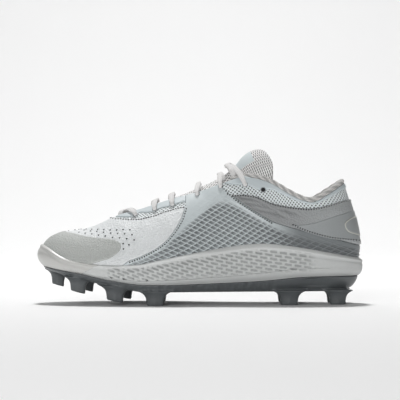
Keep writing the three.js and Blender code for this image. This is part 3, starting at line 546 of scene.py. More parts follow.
def lip_line(low: float, high: float, clear: float = 0.0) -> Points:
    """The line along the midsole's lip seen from the side, between two shares of the length.

    Args:
        low: First share.
        high: Last share.
        clear: Height over the lip.

    Returns:
        Rows of x and z.
    """
    turn = -np.linspace(0.0, math.pi, 400)
    foot = LAST.point(turn, 0.0)
    p = LAST.side_point(turn, LAST.wall_top(foot[:, 0]), 1.0)
    at = LAST.along(p[:, 0])
    keep = (at > low) & (at < high)
    return np.stack([p[keep, 0], p[keep, 2] + clear], axis=1)


def nearest(points: Points, line: Points, closed: bool) -> tuple[Points, Points]:
    """Distance from points to a line.

    Args:
        points: Points seen from the side, x and z.
        line: Corners of the line.
        closed: Whether the line goes back to its start.

    Returns:
        The distances, and the directions to the nearest places.
    """
    start = line if closed else line[:-1]
    end = np.roll(line, -1, axis=0) if closed else line[1:]
    along = end - start
    length = np.maximum((along**2).sum(1), 1e-12)
    best = np.full(len(points), np.inf)
    way = np.zeros((len(points), 2))
    for first in range(0, len(points), 4000):
        part = points[first:first + 4000]
        gap = part[:, None, :] - start[None]
        t = np.clip((gap * along).sum(2) / length, 0, 1)
        gap = gap - t[..., None] * along
        far = (gap**2).sum(2)
        i = far.argmin(1)
        rows = np.arange(len(part))
        best[first:first + 4000] = np.sqrt(far[rows, i])
        way[first:first + 4000] = -gap[rows, i]
    return best, way


def contained(points: Points, outline: Points) -> Points:
    """Whether points lie inside a closed outline.

    Args:
        points: Rows of x and z.
        outline: Its corners.

    Returns:
        True for those inside.
    """
    inside = np.zeros(len(points), bool)
    a = outline
    b = np.roll(outline, -1, axis=0)
    for (ax, az), (bx, bz) in zip(a, b):
        if az == bz:
            continue
        crosses = (az > points[:, 1]) != (bz > points[:, 1])
        inside ^= crosses & (points[:, 0] < ax + (bx - ax) * (points[:, 1] - az) / (bz - az))
    return inside


ROUND, UP, FREE, LIP, INSIDE = range(6, 11)


@dataclass
class Sheet:
    """Triangles on the last's skin, from which the panels are cut.

    Columns of the data: 0 to 2 place, 3 to 5 outward direction, then the named ones. ROUND is the
    distance round the shoe, UP the one up its side, FREE the one to the free edge, LIP the lip's height
    over the place and INSIDE the distance inside the panel's outline.
    """

    data: Points
    faces: Points

    @staticmethod
    def woven(step: float, rows: int) -> "Sheet":
        """Lays the sheet over the whole last.

        Args:
            step: Space between columns round the shoe, in millimetres.
            rows: Rows from the bottom edge to the upper's edge.

        Returns:
            The sheet, with equal places joined.
        """
        turn = LAST.turns(step)
        edge = LAST.edge(turn)
        share = np.linspace(0, 1, rows) ** 1.05
        lift = edge[:, None] * share
        place = LAST.point(turn[:, None], lift)
        out = LAST.normal(turn[:, None] * np.ones(rows), lift)
        steps = np.linalg.norm(np.diff(place, axis=1), axis=2)
        up = np.concatenate([np.zeros((len(turn), 1)), np.cumsum(steps, axis=1)], axis=1)
        round_it = travelled(LAST.skin(turn, 0.0, 2.0))
        free = np.where((edge < QUARTER_TURN - TINY / 10)[:, None], up[:, -1:] - up, 99.0)
        lip = LAST.wall_top(LAST.point(turn, 0.0)[:, 0])[:, None] - place[..., 2]
        data = np.concatenate([
            place, out, np.broadcast_to(round_it[:, None, None], place.shape[:2] + (1,)),
            up[..., None], free[..., None], lip[..., None], np.zeros(place.shape[:2] + (1,)),
        ], axis=2).reshape(-1, 11)
        n = rows
        i = (np.arange(len(turn) - 1)[:, None] * n + np.arange(n - 1)).ravel()
        faces = np.concatenate([
            np.stack([i, i + 1, i + n + 1], axis=1), np.stack([i, i + n + 1, i + n], axis=1),
        ])
        _, first, same = np.unique(np.round(data[:, :3] * 500).astype(np.int64), axis=0,
                                   return_index=True, return_inverse=True)
        faces = same.ravel()[faces]
        return Sheet(data[first], proper(faces))

    def part(self, keep: Points) -> "Sheet":
        """Keeps the triangles whose corners are all wanted."""
        faces = self.faces[keep[self.faces].all(axis=1)]
        return self.tidy(faces)

    def tidy(self, faces: Points) -> "Sheet":
        """Drops the corners that no triangle uses."""
        used, same = np.unique(faces, return_inverse=True)
        return Sheet(self.data[used], same.reshape(-1, 3))

    def cut(self, level: float) -> "Sheet":
        """Splits the triangles that the panel's distance crosses at a level.

        Args:
            level: The distance to cut at.

        Returns:
            The new sheet.
        """
        data = self.data.copy()
        d = data[:, INSIDE]
        close = np.abs(d - level) < 1e-4
        d[close] = level + 1e-4
        above = d > level
        count = above[self.faces].sum(axis=1)
        whole = self.faces[(count == 0) | (count == 3)]
        crossed = self.faces[(count == 1) | (count == 2)]
        if not len(crossed):
            return Sheet(data, self.faces)
        odd = above[crossed] == (above[crossed].sum(axis=1) == 1)[:, None]
        first = odd.argmax(axis=1)
        rows = np.arange(len(crossed))
        a = crossed[rows, first]
        b = crossed[rows, (first + 1) % 3]
        c = crossed[rows, (first + 2) % 3]
        edges = np.concatenate([np.stack([a, b], 1), np.stack([a, c], 1)])
        edges.sort(axis=1)
        pairs, same = np.unique(edges, axis=0, return_inverse=True)
        same = same.ravel()
        t = (level - d[pairs[:, 0]]) / (d[pairs[:, 1]] - d[pairs[:, 0]])
        new = mix(data[pairs[:, 0]], data[pairs[:, 1]], t[:, None])
        new[:, INSIDE] = level
        p = same[:len(crossed)] + len(data)
        q = same[len(crossed):] + len(data)
        faces = np.concatenate([
            whole, np.stack([a, p, q], 1), np.stack([p, b, c], 1), np.stack([p, c, q], 1),
        ])
        return Sheet(np.concatenate([data, new]), proper(faces))


def proper(faces: Points) -> Points:
    """Drops the triangles that have two equal corners."""
    a, b, c = faces.T
    return faces[(a != b) & (b != c) & (c != a)]


def panel_distance(data: Points, outline: Points) -> Points:
    """Distance inside an outline seen from the side, measured along the surface.

    Args:
        data: The sheet's data.
        outline: Its corners.

    Returns:
        The distances, negative outside.
    """
    flat = data[:, [0, 2]]
    low = outline.min(0) - 6
    high = outline.max(0) + 6
    near = ((flat >= low) & (flat <= high)).all(axis=1)
    d = np.full(len(data), -6.0)
    gap, way = nearest(flat[near], outline, True)
    sign = np.where(contained(flat[near], outline), 1.0, -1.0)
    ways = way / np.maximum(gap, 1e-9)[:, None]
    slope = ways[:, 0] * data[near, 3] + ways[:, 1] * data[near, 5]
    d[near] = sign * gap / np.sqrt(np.maximum(0.04, 1 - slope**2))
    return d


@dataclass(frozen=True)
class Crease:
    """A soft trough with a ridge beside it, drawn in shares of the shoe's own sizes."""

    line: tuple[tuple[float, float], ...]
    width: float
    depth: float
    ridge: float = 0.4


def relief(data: Points, creases: list[Crease]) -> Points:
    """How far the creases move each place outward.

    Args:
        data: Rows that start with x, y and z.
        creases: The creases.

    Returns:
        The distances.
    """
    moved = np.zeros(len(data))
    for crease in creases:
        line = drawn([list(p) for p in crease.line], 1.5)
        reach = 5 * crease.width
        flat = data[:, [0, 2]]
        near = ((flat >= line.min(0) - reach) & (flat <= line.max(0) + reach)).all(axis=1)
        if not near.any():
            continue
        gap, way = nearest(flat[near], line, False)
        t = gap / crease.width
        beyond = np.where(way[:, 1] < 0, 1.0, 0.55)
        hollow = -np.exp(-(t**2)) + crease.ridge * beyond * np.exp(-((t - 2.1) ** 2) / 1.2)
        ends = np.minimum(np.linalg.norm(flat[near] - line[0], axis=1),
                          np.linalg.norm(flat[near] - line[-1], axis=1))
        moved[near] += crease.depth * hollow * smoothstep(0, 2.2 * crease.width, ends)
    return moved


def rounded(d: Points, thick: float, edge: float) -> Points:
    """Height of a panel with a rounded edge, by the distance from its outline."""
    t = np.clip(d / edge, 0, 1)
    return thick * np.sqrt(np.clip(t * (2 - t), 0, 1)) - 0.12 * (1 - t)


def make_mesh(name: str, points: Points, faces: Points,
              attributes: dict[str, Points] | None = None) -> bpy.types.Object:
    """Makes an object from points in millimetres of the shoe.

    Args:
        name: Name of the piece.
        points: Corners.
        faces: Triangles or quads, as rows of corner numbers.
        attributes: Values to keep on the corners, one or three for each.

    Returns:
        The linked object.
    """
    mesh = bpy.data.meshes.new(name)
    corners = faces.shape[1]
    mesh.vertices.add(len(points))
    mesh.vertices.foreach_set("co", ((points + ORIGIN) * MM).astype(np.float32).ravel())
    mesh.loops.add(faces.size)
    mesh.loops.foreach_set("vertex_index", faces.astype(np.int32).ravel())
    mesh.polygons.add(len(faces))
    mesh.polygons.foreach_set("loop_start", (np.arange(len(faces)) * corners).astype(np.int32))
    mesh.polygons.foreach_set("use_smooth", np.full(len(faces), True))
    mesh.update(calc_edges=True)
    mesh.validate()
    for key, values in (attributes or {}).items():
        kind = "FLOAT" if values.ndim == 1 else "FLOAT_VECTOR"
        layer = mesh.attributes.new(key, kind, "POINT")
        layer.data.foreach_set("value" if values.ndim == 1 else "vector", values.astype(np.float32).ravel())
    obj = bpy.data.objects.new(name, mesh)
    bpy.context.scene.collection.objects.link(obj)
    return obj


def joined(parts: list[tuple[Points, Points]]) -> tuple[Points, Points]:
    """Puts several meshes of equal face size into one.

    Args:
        parts: Points and faces of each.

    Returns:
        Points and faces.
    """
    points = np.concatenate([p for p, _ in parts])
    starts = np.cumsum([0] + [len(p) for p, _ in parts[:-1]])
    faces = np.concatenate([f + start for (_, f), start in zip(parts, starts)])
    return points, faces


def cloth_map(across: Points, along: Points) -> Points:
    """Distances over a piece, on which its weave and its dots are laid out."""
    return np.column_stack([np.ravel(across), np.ravel(along), np.zeros(np.size(across))])


def rimless(points: Points, **values: Points) -> dict[str, Points]:
    """What the materials read from a piece that has no painted shade or highlight at its rim."""
    return {"rim": np.full(len(points), FAR), **values}


def grid_faces(rows: int, columns: int, closed: bool = False) -> Points:
    """Quads between rows of points; a closed grid joins its last column to its first.

    Args:
        rows: Rows of points.
        columns: Points in a row.
        closed: Whether the grid is closed.

    Returns:
        The quads.
    """
    i = np.arange(rows - 1)[:, None]
    j = np.arange(columns if closed else columns - 1)[None]
    k = (j + 1) % columns
    return np.stack([i * columns + j, i * columns + k, (i + 1) * columns + k, (i + 1) * columns + j],
                    axis=-1).reshape(-1, 4)


def drawn_in(ring: Points, share: float) -> Points:
    """Draws a ring of points in towards its middle."""
    return mix(ring.mean(axis=1, keepdims=True), ring, share)


def decked(ring: Points, rows: int) -> Points:
    """Straight rows of points across an outline that runs from heel to heel by way of the toe."""
    half = len(ring) // 2
    return mix(ring[:half, None], ring[::-1][:half, None], np.linspace(0, 1, rows)[None, :, None])


def swept(path: Points, outs: Points, width: Points, thick: Points, sides: int = 12,
          power: float = 2.0) -> tuple[Points, Points]:
    """A cord with an oval section along a path.

    Args:
        path: Points along the middle.
        outs: The way that its thickness faces at each.
        width: Width at each point, or one for all.
        thick: Thickness at each point, or one for all.
        sides: Corners of the section.
        power: 2 for an ellipse, more for a boxier section.

    Returns:
        Points and quads.
    """
    ahead = unit(np.gradient(path, axis=0))
    across = unit(np.cross(ahead, outs))
    up = unit(np.cross(across, ahead))
    angle = np.linspace(0, 2 * math.pi, sides, endpoint=False)
    c = np.sign(np.cos(angle)) * np.abs(np.cos(angle)) ** (2 / power) / 2
    s = np.sign(np.sin(angle)) * np.abs(np.sin(angle)) ** (2 / power) / 2
    wide = np.broadcast_to(width, len(path)).astype(float).copy()
    deep = np.broadcast_to(thick, len(path)).astype(float).copy()
    wide[[0, -1]] *= CORD_END
    deep[[0, -1]] *= CORD_END
    rings = (path[:, None] + across[:, None] * (c[:, None] * wide[:, None, None])
             + up[:, None] * (s[:, None] * deep[:, None, None]))
    return rings.reshape(-1, 3), grid_faces(len(path), sides, True)


def turned(centre: Points, out: Points, start: Line, profile: Line, sides: int) -> tuple[Points, Points]:
    """A small round form on a surface.

    Args:
        centre: Its middle.
        out: The surface's outward direction.
        start: A direction that sets where its rings start.
        profile: Radius and height of each ring.
        sides: Corners of a ring.

    Returns:
        Points and quads.
    """
    first = unit(np.cross(out, start))
    second = np.cross(out, first)
    angle = np.linspace(0, 2 * math.pi, sides, endpoint=False)
    circle = first * np.cos(angle)[:, None] + second * np.sin(angle)[:, None]
    rows = [centre + circle * radius + out * height for radius, height in profile]
    return np.concatenate(rows), grid_faces(len(rows), sides, True)


class SideFinder:
    """Finds places of the shoe's skin from where they are seen from the side."""

    def __init__(self, sheet: Sheet) -> None:
        """Sorts the sheet's corners by side.

        Args:
            sheet: The sheet.
        """
        self.data = sheet.data
        self.trees = {}
        beside = sheet.data[:, 1] - LAST.crest_y(sheet.data[:, 0])
        for side in (Side.OUTER, Side.INNER):
            members = np.flatnonzero(beside * side.value > -0.01)
            tree = kdtree.KDTree(len(members))
            for i in members:
                tree.insert((sheet.data[i, 0], 0.0, sheet.data[i, 2]), int(i))
            tree.balance()
            self.trees[side] = tree

    def at(self, places: Points, side: Side, offset: float) -> tuple[Points, Points]:
        """Points over the skin and its directions there.

        Args:
            places: x and z of each place, in millimetres.
            side: The side that they are on.
            offset: Distance from the last.

        Returns:
            Points and outward directions.
        """
        found = np.array([self.trees[side].find((x, 0.0, z))[1] for x, z in places])
        base = self.data[found]
        out = base[:, 3:6]
        shift = np.column_stack([places[:, 0] - base[:, 0], np.zeros(len(found)),
                                 places[:, 1] - base[:, 2]])
        shift = shift - out * (shift * out).sum(1, keepdims=True)
        far = np.linalg.norm(shift, axis=1, keepdims=True)
        shift *= np.minimum(1.0, 1.5 / np.maximum(far, 1e-9))
        return base[:, :3] + shift + out * offset, out


def finished(obj: bpy.types.Object, material: bpy.types.Material, slot: str, *nodes: str) -> None:
    """Gives a piece its material and body, hides the solids that it stands for and logs its size.

    Args:
        obj: The piece.
        material: Its material.
        slot: Not used.
        nodes: The solids.
    """
    obj.data.materials.append(material)
    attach(obj, "root")
    if nodes:
        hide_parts(*nodes)
    log.info("%s: %d faces", obj.name, len(obj.data.polygons))


def second_material(obj: bpy.types.Object, material: bpy.types.Material, faces: Points) -> None:
    """Gives some faces of a piece another material."""
    obj.data.materials.append(material)
    obj.data.polygons.foreach_set("material_index", faces.astype(np.int32))


Socket = bpy.types.NodeSocket


def tint(red: float, green: float, blue: float) -> tuple[float, float, float, float]:
    """A linear colour from the screen values, 0 to 255.

    Args:
        red: Red.
        green: Green.
        blue: Blue.

    Returns:
        Red, green, blue and alpha.
    """
    def linear(value: float) -> float:
        """One channel's linear value."""
        v = value / 255
        return v / 12.92 if v <= 0.04045 else ((v + 0.055) / 1.055) ** 2.4
    return linear(red), linear(green), linear(blue), 1.0


class Wiring:
    """Short ways to add and join nodes in one tree."""

    def __init__(self, tree: bpy.types.NodeTree) -> None:
        """Keeps the tree."""
        self.tree = tree

    def node(self, kind: str, **settings: object) -> bpy.types.Node:
        """Adds a node with its settings.

        Args:
            kind: Type of the node.
            settings: Its settings by name.

        Returns:
            The node.
        """
        node = self.tree.nodes.new(kind)
        for key, value in settings.items():
            setattr(node, key, value)
        return node

    def join(self, source: Socket | float | tuple, target: Socket) -> None:
        """Links a socket, or sets a plain value.

        Args:
            source: A socket or a value.
            target: The input that it feeds.
        """
        if isinstance(source, bpy.types.NodeSocket):
            self.tree.links.new(source, target)
        else:
            target.default_value = source

    def maths(self, operation: str, a: Socket | float, b: Socket | float = 0.0) -> Socket:
        """Adds a Math node.

        Args:
            operation: What it does.
            a: First value.
            b: Second value.

        Returns:
            The result.
        """
        node = self.node("ShaderNodeMath", operation=operation)
        for value, target in zip((a, b), node.inputs):
            self.join(value, target)
        return node.outputs[0]

    def step(self, value: Socket | float, low: float, high: float) -> Socket:
        """Rises softly from 0 to 1.

        Args:
            value: The value to map.
            low: Where it starts.
            high: Where it ends.

        Returns:
            The result.
        """
        node = self.node("ShaderNodeMapRange", interpolation_type="SMOOTHSTEP")
        for source, target in zip((value, low, high), node.inputs):
            self.join(source, target)
        return node.outputs[0]

    def blend(self, factor: Socket | float, a: Socket | tuple, b: Socket | tuple) -> Socket:
        """Mixes two colours.

        Args:
            factor: Share of the second colour.
            a: First colour.
            b: Second colour.

        Returns:
            The result.
        """
        node = self.node("ShaderNodeMix", data_type="RGBA")
        self.join(factor, node.inputs[0])
        self.join(a, node.inputs[6])
        self.join(b, node.inputs[7])
        return node.outputs[2]

    def noise(self, scale: Socket | float, detail: float = 3.0) -> Socket:
        """Adds a noise texture over the piece.

        Args:
            scale: Scale of the noise.
            detail: How fine it gets.

        Returns:
            The value.
        """
        node = self.node("ShaderNodeTexNoise")
        self.join(self.node("ShaderNodeTexCoord").outputs["Object"], node.inputs["Vector"])
        self.join(scale, node.inputs["Scale"])
        node.inputs["Detail"].default_value = detail
        return node.outputs[0]

    def cells(self, scale: Socket | float) -> Socket:
        """Adds a cell texture over the piece and gives the distance to each cell's middle.

        Args:
            scale: Scale of the cells.

        Returns:
            The distance.
        """
        node = self.node("ShaderNodeTexVoronoi")
        self.join(self.node("ShaderNodeTexCoord").outputs["Object"], node.inputs["Vector"])
        self.join(scale, node.inputs["Scale"])
        return node.outputs["Distance"]

    def scaled(self, colour: Socket, value: Socket) -> Socket:
        """Makes a colour lighter or darker by a value.

        Args:
            colour: The colour.
            value: The value.

        Returns:
            The new colour.
        """
        node = self.node("ShaderNodeVectorMath", operation="SCALE")
        self.join(colour, node.inputs[0])
        self.join(value, node.inputs["Scale"])
        return node.outputs[0]

    def kept(self, name: str, output: str = "Fac") -> Socket:
        """Reads a value kept on the piece's corners."""
        return self.node("ShaderNodeAttribute", attribute_name=name).outputs[output]

    def cloth(self) -> tuple[Socket, Socket]:
        """Reads the distances over the piece.

        Returns:
            The ones across and along.
        """
        split = self.node("ShaderNodeSeparateXYZ")
        self.join(self.kept("cloth", "Vector"), split.inputs[0])
        return split.outputs[0], split.outputs[1]


def new_group(name: str, inputs: dict[str, float | tuple], outputs: tuple[str, ...]) -> tuple:
    """Starts a shader node group.

    Args:
        name: Name of the group.
        inputs: Names of the inputs with their usual values; a tuple is a colour.
        outputs: Names of the outputs; the one called Color is a colour and the rest are values.

    Returns:
        The group, its wiring, its input node and its output node.
    """
    group = bpy.data.node_groups.new(name, "ShaderNodeTree")
    for key, value in inputs.items():
        kind = "NodeSocketColor" if isinstance(value, tuple) else "NodeSocketFloat"
        socket = group.interface.new_socket(name=key, in_out="INPUT", socket_type=kind)
        socket.default_value = value
    for key in outputs:
        kind = "NodeSocketColor" if key == "Color" else "NodeSocketFloat"
        group.interface.new_socket(name=key, in_out="OUTPUT", socket_type=kind)
    wiring = Wiring(group)
    return group, wiring, wiring.node("NodeGroupInput").outputs, wiring.node("NodeGroupOutput").inputs


def mottle_group() -> bpy.types.NodeTree:
    """Large soft patches and small specks of a slightly other shade.

    Returns:
        The group.
    """
    group, w, given, result = new_group(
        "Mottle", {"Color": (0.5, 0.5, 0.5, 1.0), "Amount": 0.1, "Scale": 60.0, "Specks": 0.05},
        ("Color", "Value"))
    large = w.maths("SUBTRACT", w.noise(given["Scale"]), 0.5)
    small = w.maths("SUBTRACT", w.noise(w.maths("MULTIPLY", given["Scale"], 14.0), 2.0), 0.5)
    both = w.maths("ADD", w.maths("MULTIPLY", large, given["Amount"]),
                   w.maths("MULTIPLY", small, given["Specks"]))
    value = w.maths("ADD", 1.0, w.maths("MULTIPLY", both, 2.0))
    w.join(w.scaled(given["Color"], value), result["Color"])
    w.join(value, result["Value"])
    return group


def grain_group() -> bpy.types.NodeTree:
    """Fine leather or moulding grain, as a height.

    Returns:
        The group.
    """
    group, w, given, result = new_group("Grain", {"Scale": 900.0, "Pebble": 0.6}, ("Height",))
    pebble = w.maths("MULTIPLY", w.cells(given["Scale"]), given["Pebble"])
    fine = w.noise(w.maths("MULTIPLY", given["Scale"], 0.8), 4.0)
    w.join(w.maths("ADD", pebble, fine), result["Height"])
    return group


def rim_group() -> bpy.types.NodeTree:
    """Painted shade and highlight at a panel's edges: a dark line at its foot and a lighter band on its rim.

    Returns:
        The group.
    """
    group, w, given, result = new_group(
        "Rim", {"Color": (0.5, 0.5, 0.5, 1.0), "Dark": 0.25, "Light": 0.1, "Width": 1.0},
        ("Color", "Mask"))
    rim = w.maths("DIVIDE", w.kept("rim"), given["Width"])
    ragged = w.maths("ADD", rim, w.maths("MULTIPLY", w.maths("SUBTRACT", w.noise(400.0), 0.5), 0.7))
    # Painted shade along the edge's foot, then a painted highlight on its rounded rim
    dark = w.maths("MULTIPLY", w.step(ragged, 0.45, 0.0), given["Dark"])
    light = w.maths("MULTIPLY", w.maths("MULTIPLY", w.step(ragged, 0.3, 0.8), w.step(ragged, 2.0, 1.0)),
                    given["Light"])
    value = w.maths("ADD", w.maths("SUBTRACT", 1.0, dark), light)
    w.join(w.scaled(given["Color"], value), result["Color"])
    w.join(light, result["Mask"])
    return group


def weave_group() -> bpy.types.NodeTree:
    """Yarns that cross over and under, with painted shade in their gaps, from the distances kept on the
    piece.

    Returns:
        The group.
    """
    group, w, given, result = new_group("Weave", {"Pitch": 1.2, "Slant": 0.0}, ("Height", "Gap"))
    across, along = w.cloth()
    across = w.maths("ADD", across, w.maths("MULTIPLY", along, given["Slant"]))
    u = w.maths("MULTIPLY", w.maths("DIVIDE", across, given["Pitch"]), math.pi)
    v = w.maths("MULTIPLY", w.maths("DIVIDE", along, given["Pitch"]), math.pi)
    warp = w.maths("ABSOLUTE", w.maths("SINE", u))
    weft = w.maths("ABSOLUTE", w.maths("SINE", v))
    over = w.maths("MULTIPLY", w.maths("COSINE", u), w.maths("COSINE", v))
    height = w.maths("MULTIPLY", w.maths("ADD", w.maths("MULTIPLY", warp, weft), 0.2),
                     w.maths("ADD", w.maths("MULTIPLY", over, 0.4), 0.8))
    w.join(height, result["Height"])
    w.join(w.step(w.maths("MULTIPLY", warp, weft), 0.25, 0.05), result["Gap"])
    return group


def dots_group() -> bpy.types.NodeTree:
    """Staggered small holes of an open mesh, darkened as painted shade, from the distances kept on the
    piece.

    Returns:
        The group.
    """
    group, w, given, result = new_group("Dots", {"Pitch": 1.8, "Size": 0.3}, ("Mask", "Height"))
    cloth = w.cloth()
    masks = []
    for shift in (0.0, 0.5):
        parts = []
        for source in cloth:
            place = w.maths("ADD", w.maths("DIVIDE", source, given["Pitch"]), shift)
            parts.append(w.maths("SUBTRACT", w.maths("FRACT", place), 0.5))
        far = w.maths("SQRT", w.maths("ADD", w.maths("MULTIPLY", parts[0], parts[0]),
                                      w.maths("MULTIPLY", parts[1], parts[1])))
        masks.append(w.step(w.maths("DIVIDE", far, given["Size"]), 1.0, 0.6))
    mask = w.maths("MAXIMUM", masks[0], masks[1])
    w.join(mask, result["Mask"])
    w.join(w.maths("SUBTRACT", 1.0, mask), result["Height"])
    return group


@dataclass(frozen=True)
class Finish:
    """What one surface looks like: its colours, gloss and the sizes of its grain."""

    colour: tuple[float, float, float]
    roughness: float = 0.5
    coat: float = 0.0
    sheen: float = 0.0
    mottle: float = 0.04
    mottle_scale: float = 60.0
    specks: float = 0.03
    grain: float = 0.0
    grain_scale: float = 900.0
    pebble: float = 0.6
    weave: float = 0.0
    pitch: float = 1.2
    slant: float = 0.0
    # Painted shade: how dark the weave's gaps get, the holes' darkness, spacing and size, and the shade's
    # colour
    gap_dark: float = 0.0
    dots: float = 0.0
    dot_pitch: float = 1.9
    dot_size: float = 0.26
    under: tuple[float, float, float] = (90.0, 94.0, 96.0)
    # Second colour blended in by the kept tone, which paints shade on the foam, the roll and in the cage's
    # cells
    tone: tuple[float, float, float] | None = None
    # Painted shade at the foot of a rim, painted highlight on it, and the rim's width
    rim_dark: float = 0.25
    rim_light: float = 0.08
    rim_width: float = 0.8


class Materials:
    """Makes the materials of the finishes from the shared groups."""

    def __init__(self) -> None:
        """Makes each group once."""
        self.groups = {
            "mottle": mottle_group(), "grain": grain_group(), "rim": rim_group(),
            "weave": weave_group(), "dots": dots_group(),
        }

    def placed(self, w: Wiring, name: str, **values: float | Socket | tuple) -> bpy.types.Node:
        """Places a group in a material with its own values.

        Args:
            w: The material's wiring.
            name: Name of the group.
            values: Values and sockets for its inputs.

        Returns:
            The group node.
        """
        node = w.node("ShaderNodeGroup", node_tree=self.groups[name])
        for key, value in values.items():
            w.join(value, node.inputs[key.capitalize()])
        return node

    def make(self, name: str, finish: Finish) -> bpy.types.Material:
        """Makes one material.

        Args:
            name: Name of the material.
            finish: Its colours, gloss and grain.

        Returns:
            The material.
        """
        material = bpy.data.materials.new(name)
        material.use_nodes = True
        tree = material.node_tree
        w = Wiring(tree)
        shader = tree.nodes["Principled BSDF"]
        shader.inputs["Roughness"].default_value = finish.roughness
        shader.inputs["Sheen Weight"].default_value = finish.sheen
        shader.inputs["Sheen Roughness"].default_value = 0.6
        shader.inputs["Coat Weight"].default_value = finish.coat
        shader.inputs["Coat Roughness"].default_value = 0.35
        colour: Socket | tuple = tint(*finish.colour)
        if finish.tone:
            colour = w.blend(w.kept("tone"), colour, tint(*finish.tone))
        patches = self.placed(w, "mottle", color=colour, amount=finish.mottle,
                              scale=finish.mottle_scale, specks=finish.specks)
        rim = self.placed(w, "rim", color=patches.outputs["Color"], dark=finish.rim_dark,
                          light=finish.rim_light, width=finish.rim_width)
        colour = rim.outputs["Color"]
        height: Socket | float = 0.0
        if finish.grain:
            grain = self.placed(w, "grain", scale=finish.grain_scale, pebble=finish.pebble)
            height = w.maths("MULTIPLY", grain.outputs["Height"], finish.grain)
        if finish.weave:
            weave = self.placed(w, "weave", pitch=finish.pitch, slant=finish.slant)
            height = w.maths("ADD", height, w.maths("MULTIPLY", weave.outputs["Height"], finish.weave))
            # Painted shade in the gaps between yarns
            dark = w.maths("MULTIPLY", weave.outputs["Gap"], finish.gap_dark)
            colour = w.blend(dark, colour, tint(*finish.under))
        # Painted shade inside the mesh's holes
        if finish.dots:
            dots = self.placed(w, "dots", pitch=finish.dot_pitch, size=finish.dot_size)
            colour = w.blend(w.maths("MULTIPLY", dots.outputs["Mask"], finish.dots), colour,
                             tint(*finish.under))
            height = w.maths("ADD", height, w.maths("MULTIPLY", dots.outputs["Height"], 0.3))
        w.join(colour, shader.inputs["Base Color"])
        gloss = w.maths("ADD", finish.roughness,
                        w.maths("MULTIPLY", w.maths("SUBTRACT", patches.outputs["Value"], 1.0), 0.8))
        w.join(gloss, shader.inputs["Roughness"])
        if isinstance(height, bpy.types.NodeSocket):
            bump = w.node("ShaderNodeBump")
            bump.inputs["Strength"].default_value = 0.6
            bump.inputs["Distance"].default_value = MM
            w.join(height, bump.inputs["Height"])
            w.join(bump.outputs["Normal"], shader.inputs["Normal"])
        return material


OUTSOLE_FINISH = Finish((90, 94, 96), 0.42, coat=0.1, grain=0.12, grain_scale=700.0, mottle=0.06)
# Foam's tone is painted shade; its rim and the bumper's paint shade along their seam
FOAM_FINISH = Finish((218, 220, 219), 0.55, grain=0.25, grain_scale=1000.0, tone=(120, 123, 123),
                     rim_dark=0.45, rim_light=0.0)
BUMPER_FINISH = Finish((200, 200, 197), 0.38, coat=0.15, grain=0.05, rim_dark=0.45, rim_light=0.0)
VAMP_FINISH = Finish((230, 233, 234), 0.45, coat=0.12, grain=1.2, grain_scale=620.0, mottle=0.02)
FILM_FINISH = Finish((188, 191, 188), 0.5, grain=0.9, grain_scale=800.0, pebble=1.0, mottle=0.03)
# Cage's tone: the dark underlay in the cells, the darker heel and a painted shade ramp in each cell
CAGE_FINISH = Finish((206, 214, 216), 0.38, coat=0.2, grain=0.05, tone=(96, 100, 102), mottle=0.02)
EYESTAY_FINISH = Finish((200, 209, 212), 0.42, coat=0.12, grain=0.12, grain_scale=1200.0, mottle=0.02)
# Mesh: its near-black dots are painted shade in its holes
MESH_FINISH = Finish((236, 242, 243), 0.85, sheen=0.2, dots=0.85, dot_pitch=3.6, dot_size=0.27,
                     under=(40, 42, 43), rim_dark=0.0)
QUARTER_FINISH = Finish((146, 148, 149), 0.48, coat=0.08, grain=0.9, grain_scale=700.0, mottle=0.06,
                        tone=(190, 194, 195))
COUNTER_FINISH = Finish((160, 164, 165), 0.45, coat=0.1, grain=0.2, grain_scale=900.0, mottle=0.04)
PATCH_FINISH = Finish((158, 162, 163), 0.42, coat=0.15, grain=0.1, mottle=0.03)
PIPING_FINISH = Finish((206, 206, 198), 0.6, weave=0.2, pitch=0.8)
LINING_FINISH = Finish((150, 152, 152), 0.9, sheen=0.2, weave=0.35, pitch=1.4, gap_dark=0.5)
# Roll: its darker yarn gaps and strand grooves are painted shade
ROLL_FINISH = Finish((232, 230, 227), 0.9, sheen=0.25, weave=0.6, pitch=1.5, slant=0.6, gap_dark=0.7,
                     under=(125, 125, 124), tone=(150, 150, 149), rim_dark=0.0)
TONGUE_FINISH = Finish((250, 249, 248), 0.92, sheen=0.25, weave=0.3, pitch=1.2, dots=0.95, dot_pitch=3.6,
                       dot_size=0.29, under=(104, 104, 104), mottle=0.1, mottle_scale=300.0, rim_dark=0.0)
LABEL_FINISH = Finish((214, 222, 224), 0.4, coat=0.1, grain=0.1, rim_dark=0.0)
INSOLE_FINISH = Finish((150, 153, 154), 0.9, sheen=0.2, weave=0.25, pitch=1.0, gap_dark=0.3)
LACE_FINISH = Finish((236, 235, 234), 0.85, sheen=0.2, weave=0.3, pitch=0.9, slant=0.6, gap_dark=0.3,
                     under=(140, 138, 136), rim_dark=0.0)
THREAD_FINISH = Finish((206, 208, 208), 0.7, rim_dark=0.0)
# Near-black discs standing for holes: painted shade inside eyelets, needle holes and pinholes
HOLE_FINISH = Finish((30, 31, 32), 0.85, rim_dark=0.0)
RING_FINISH = Finish((150, 155, 157), 0.4, coat=0.2, rim_dark=0.0)


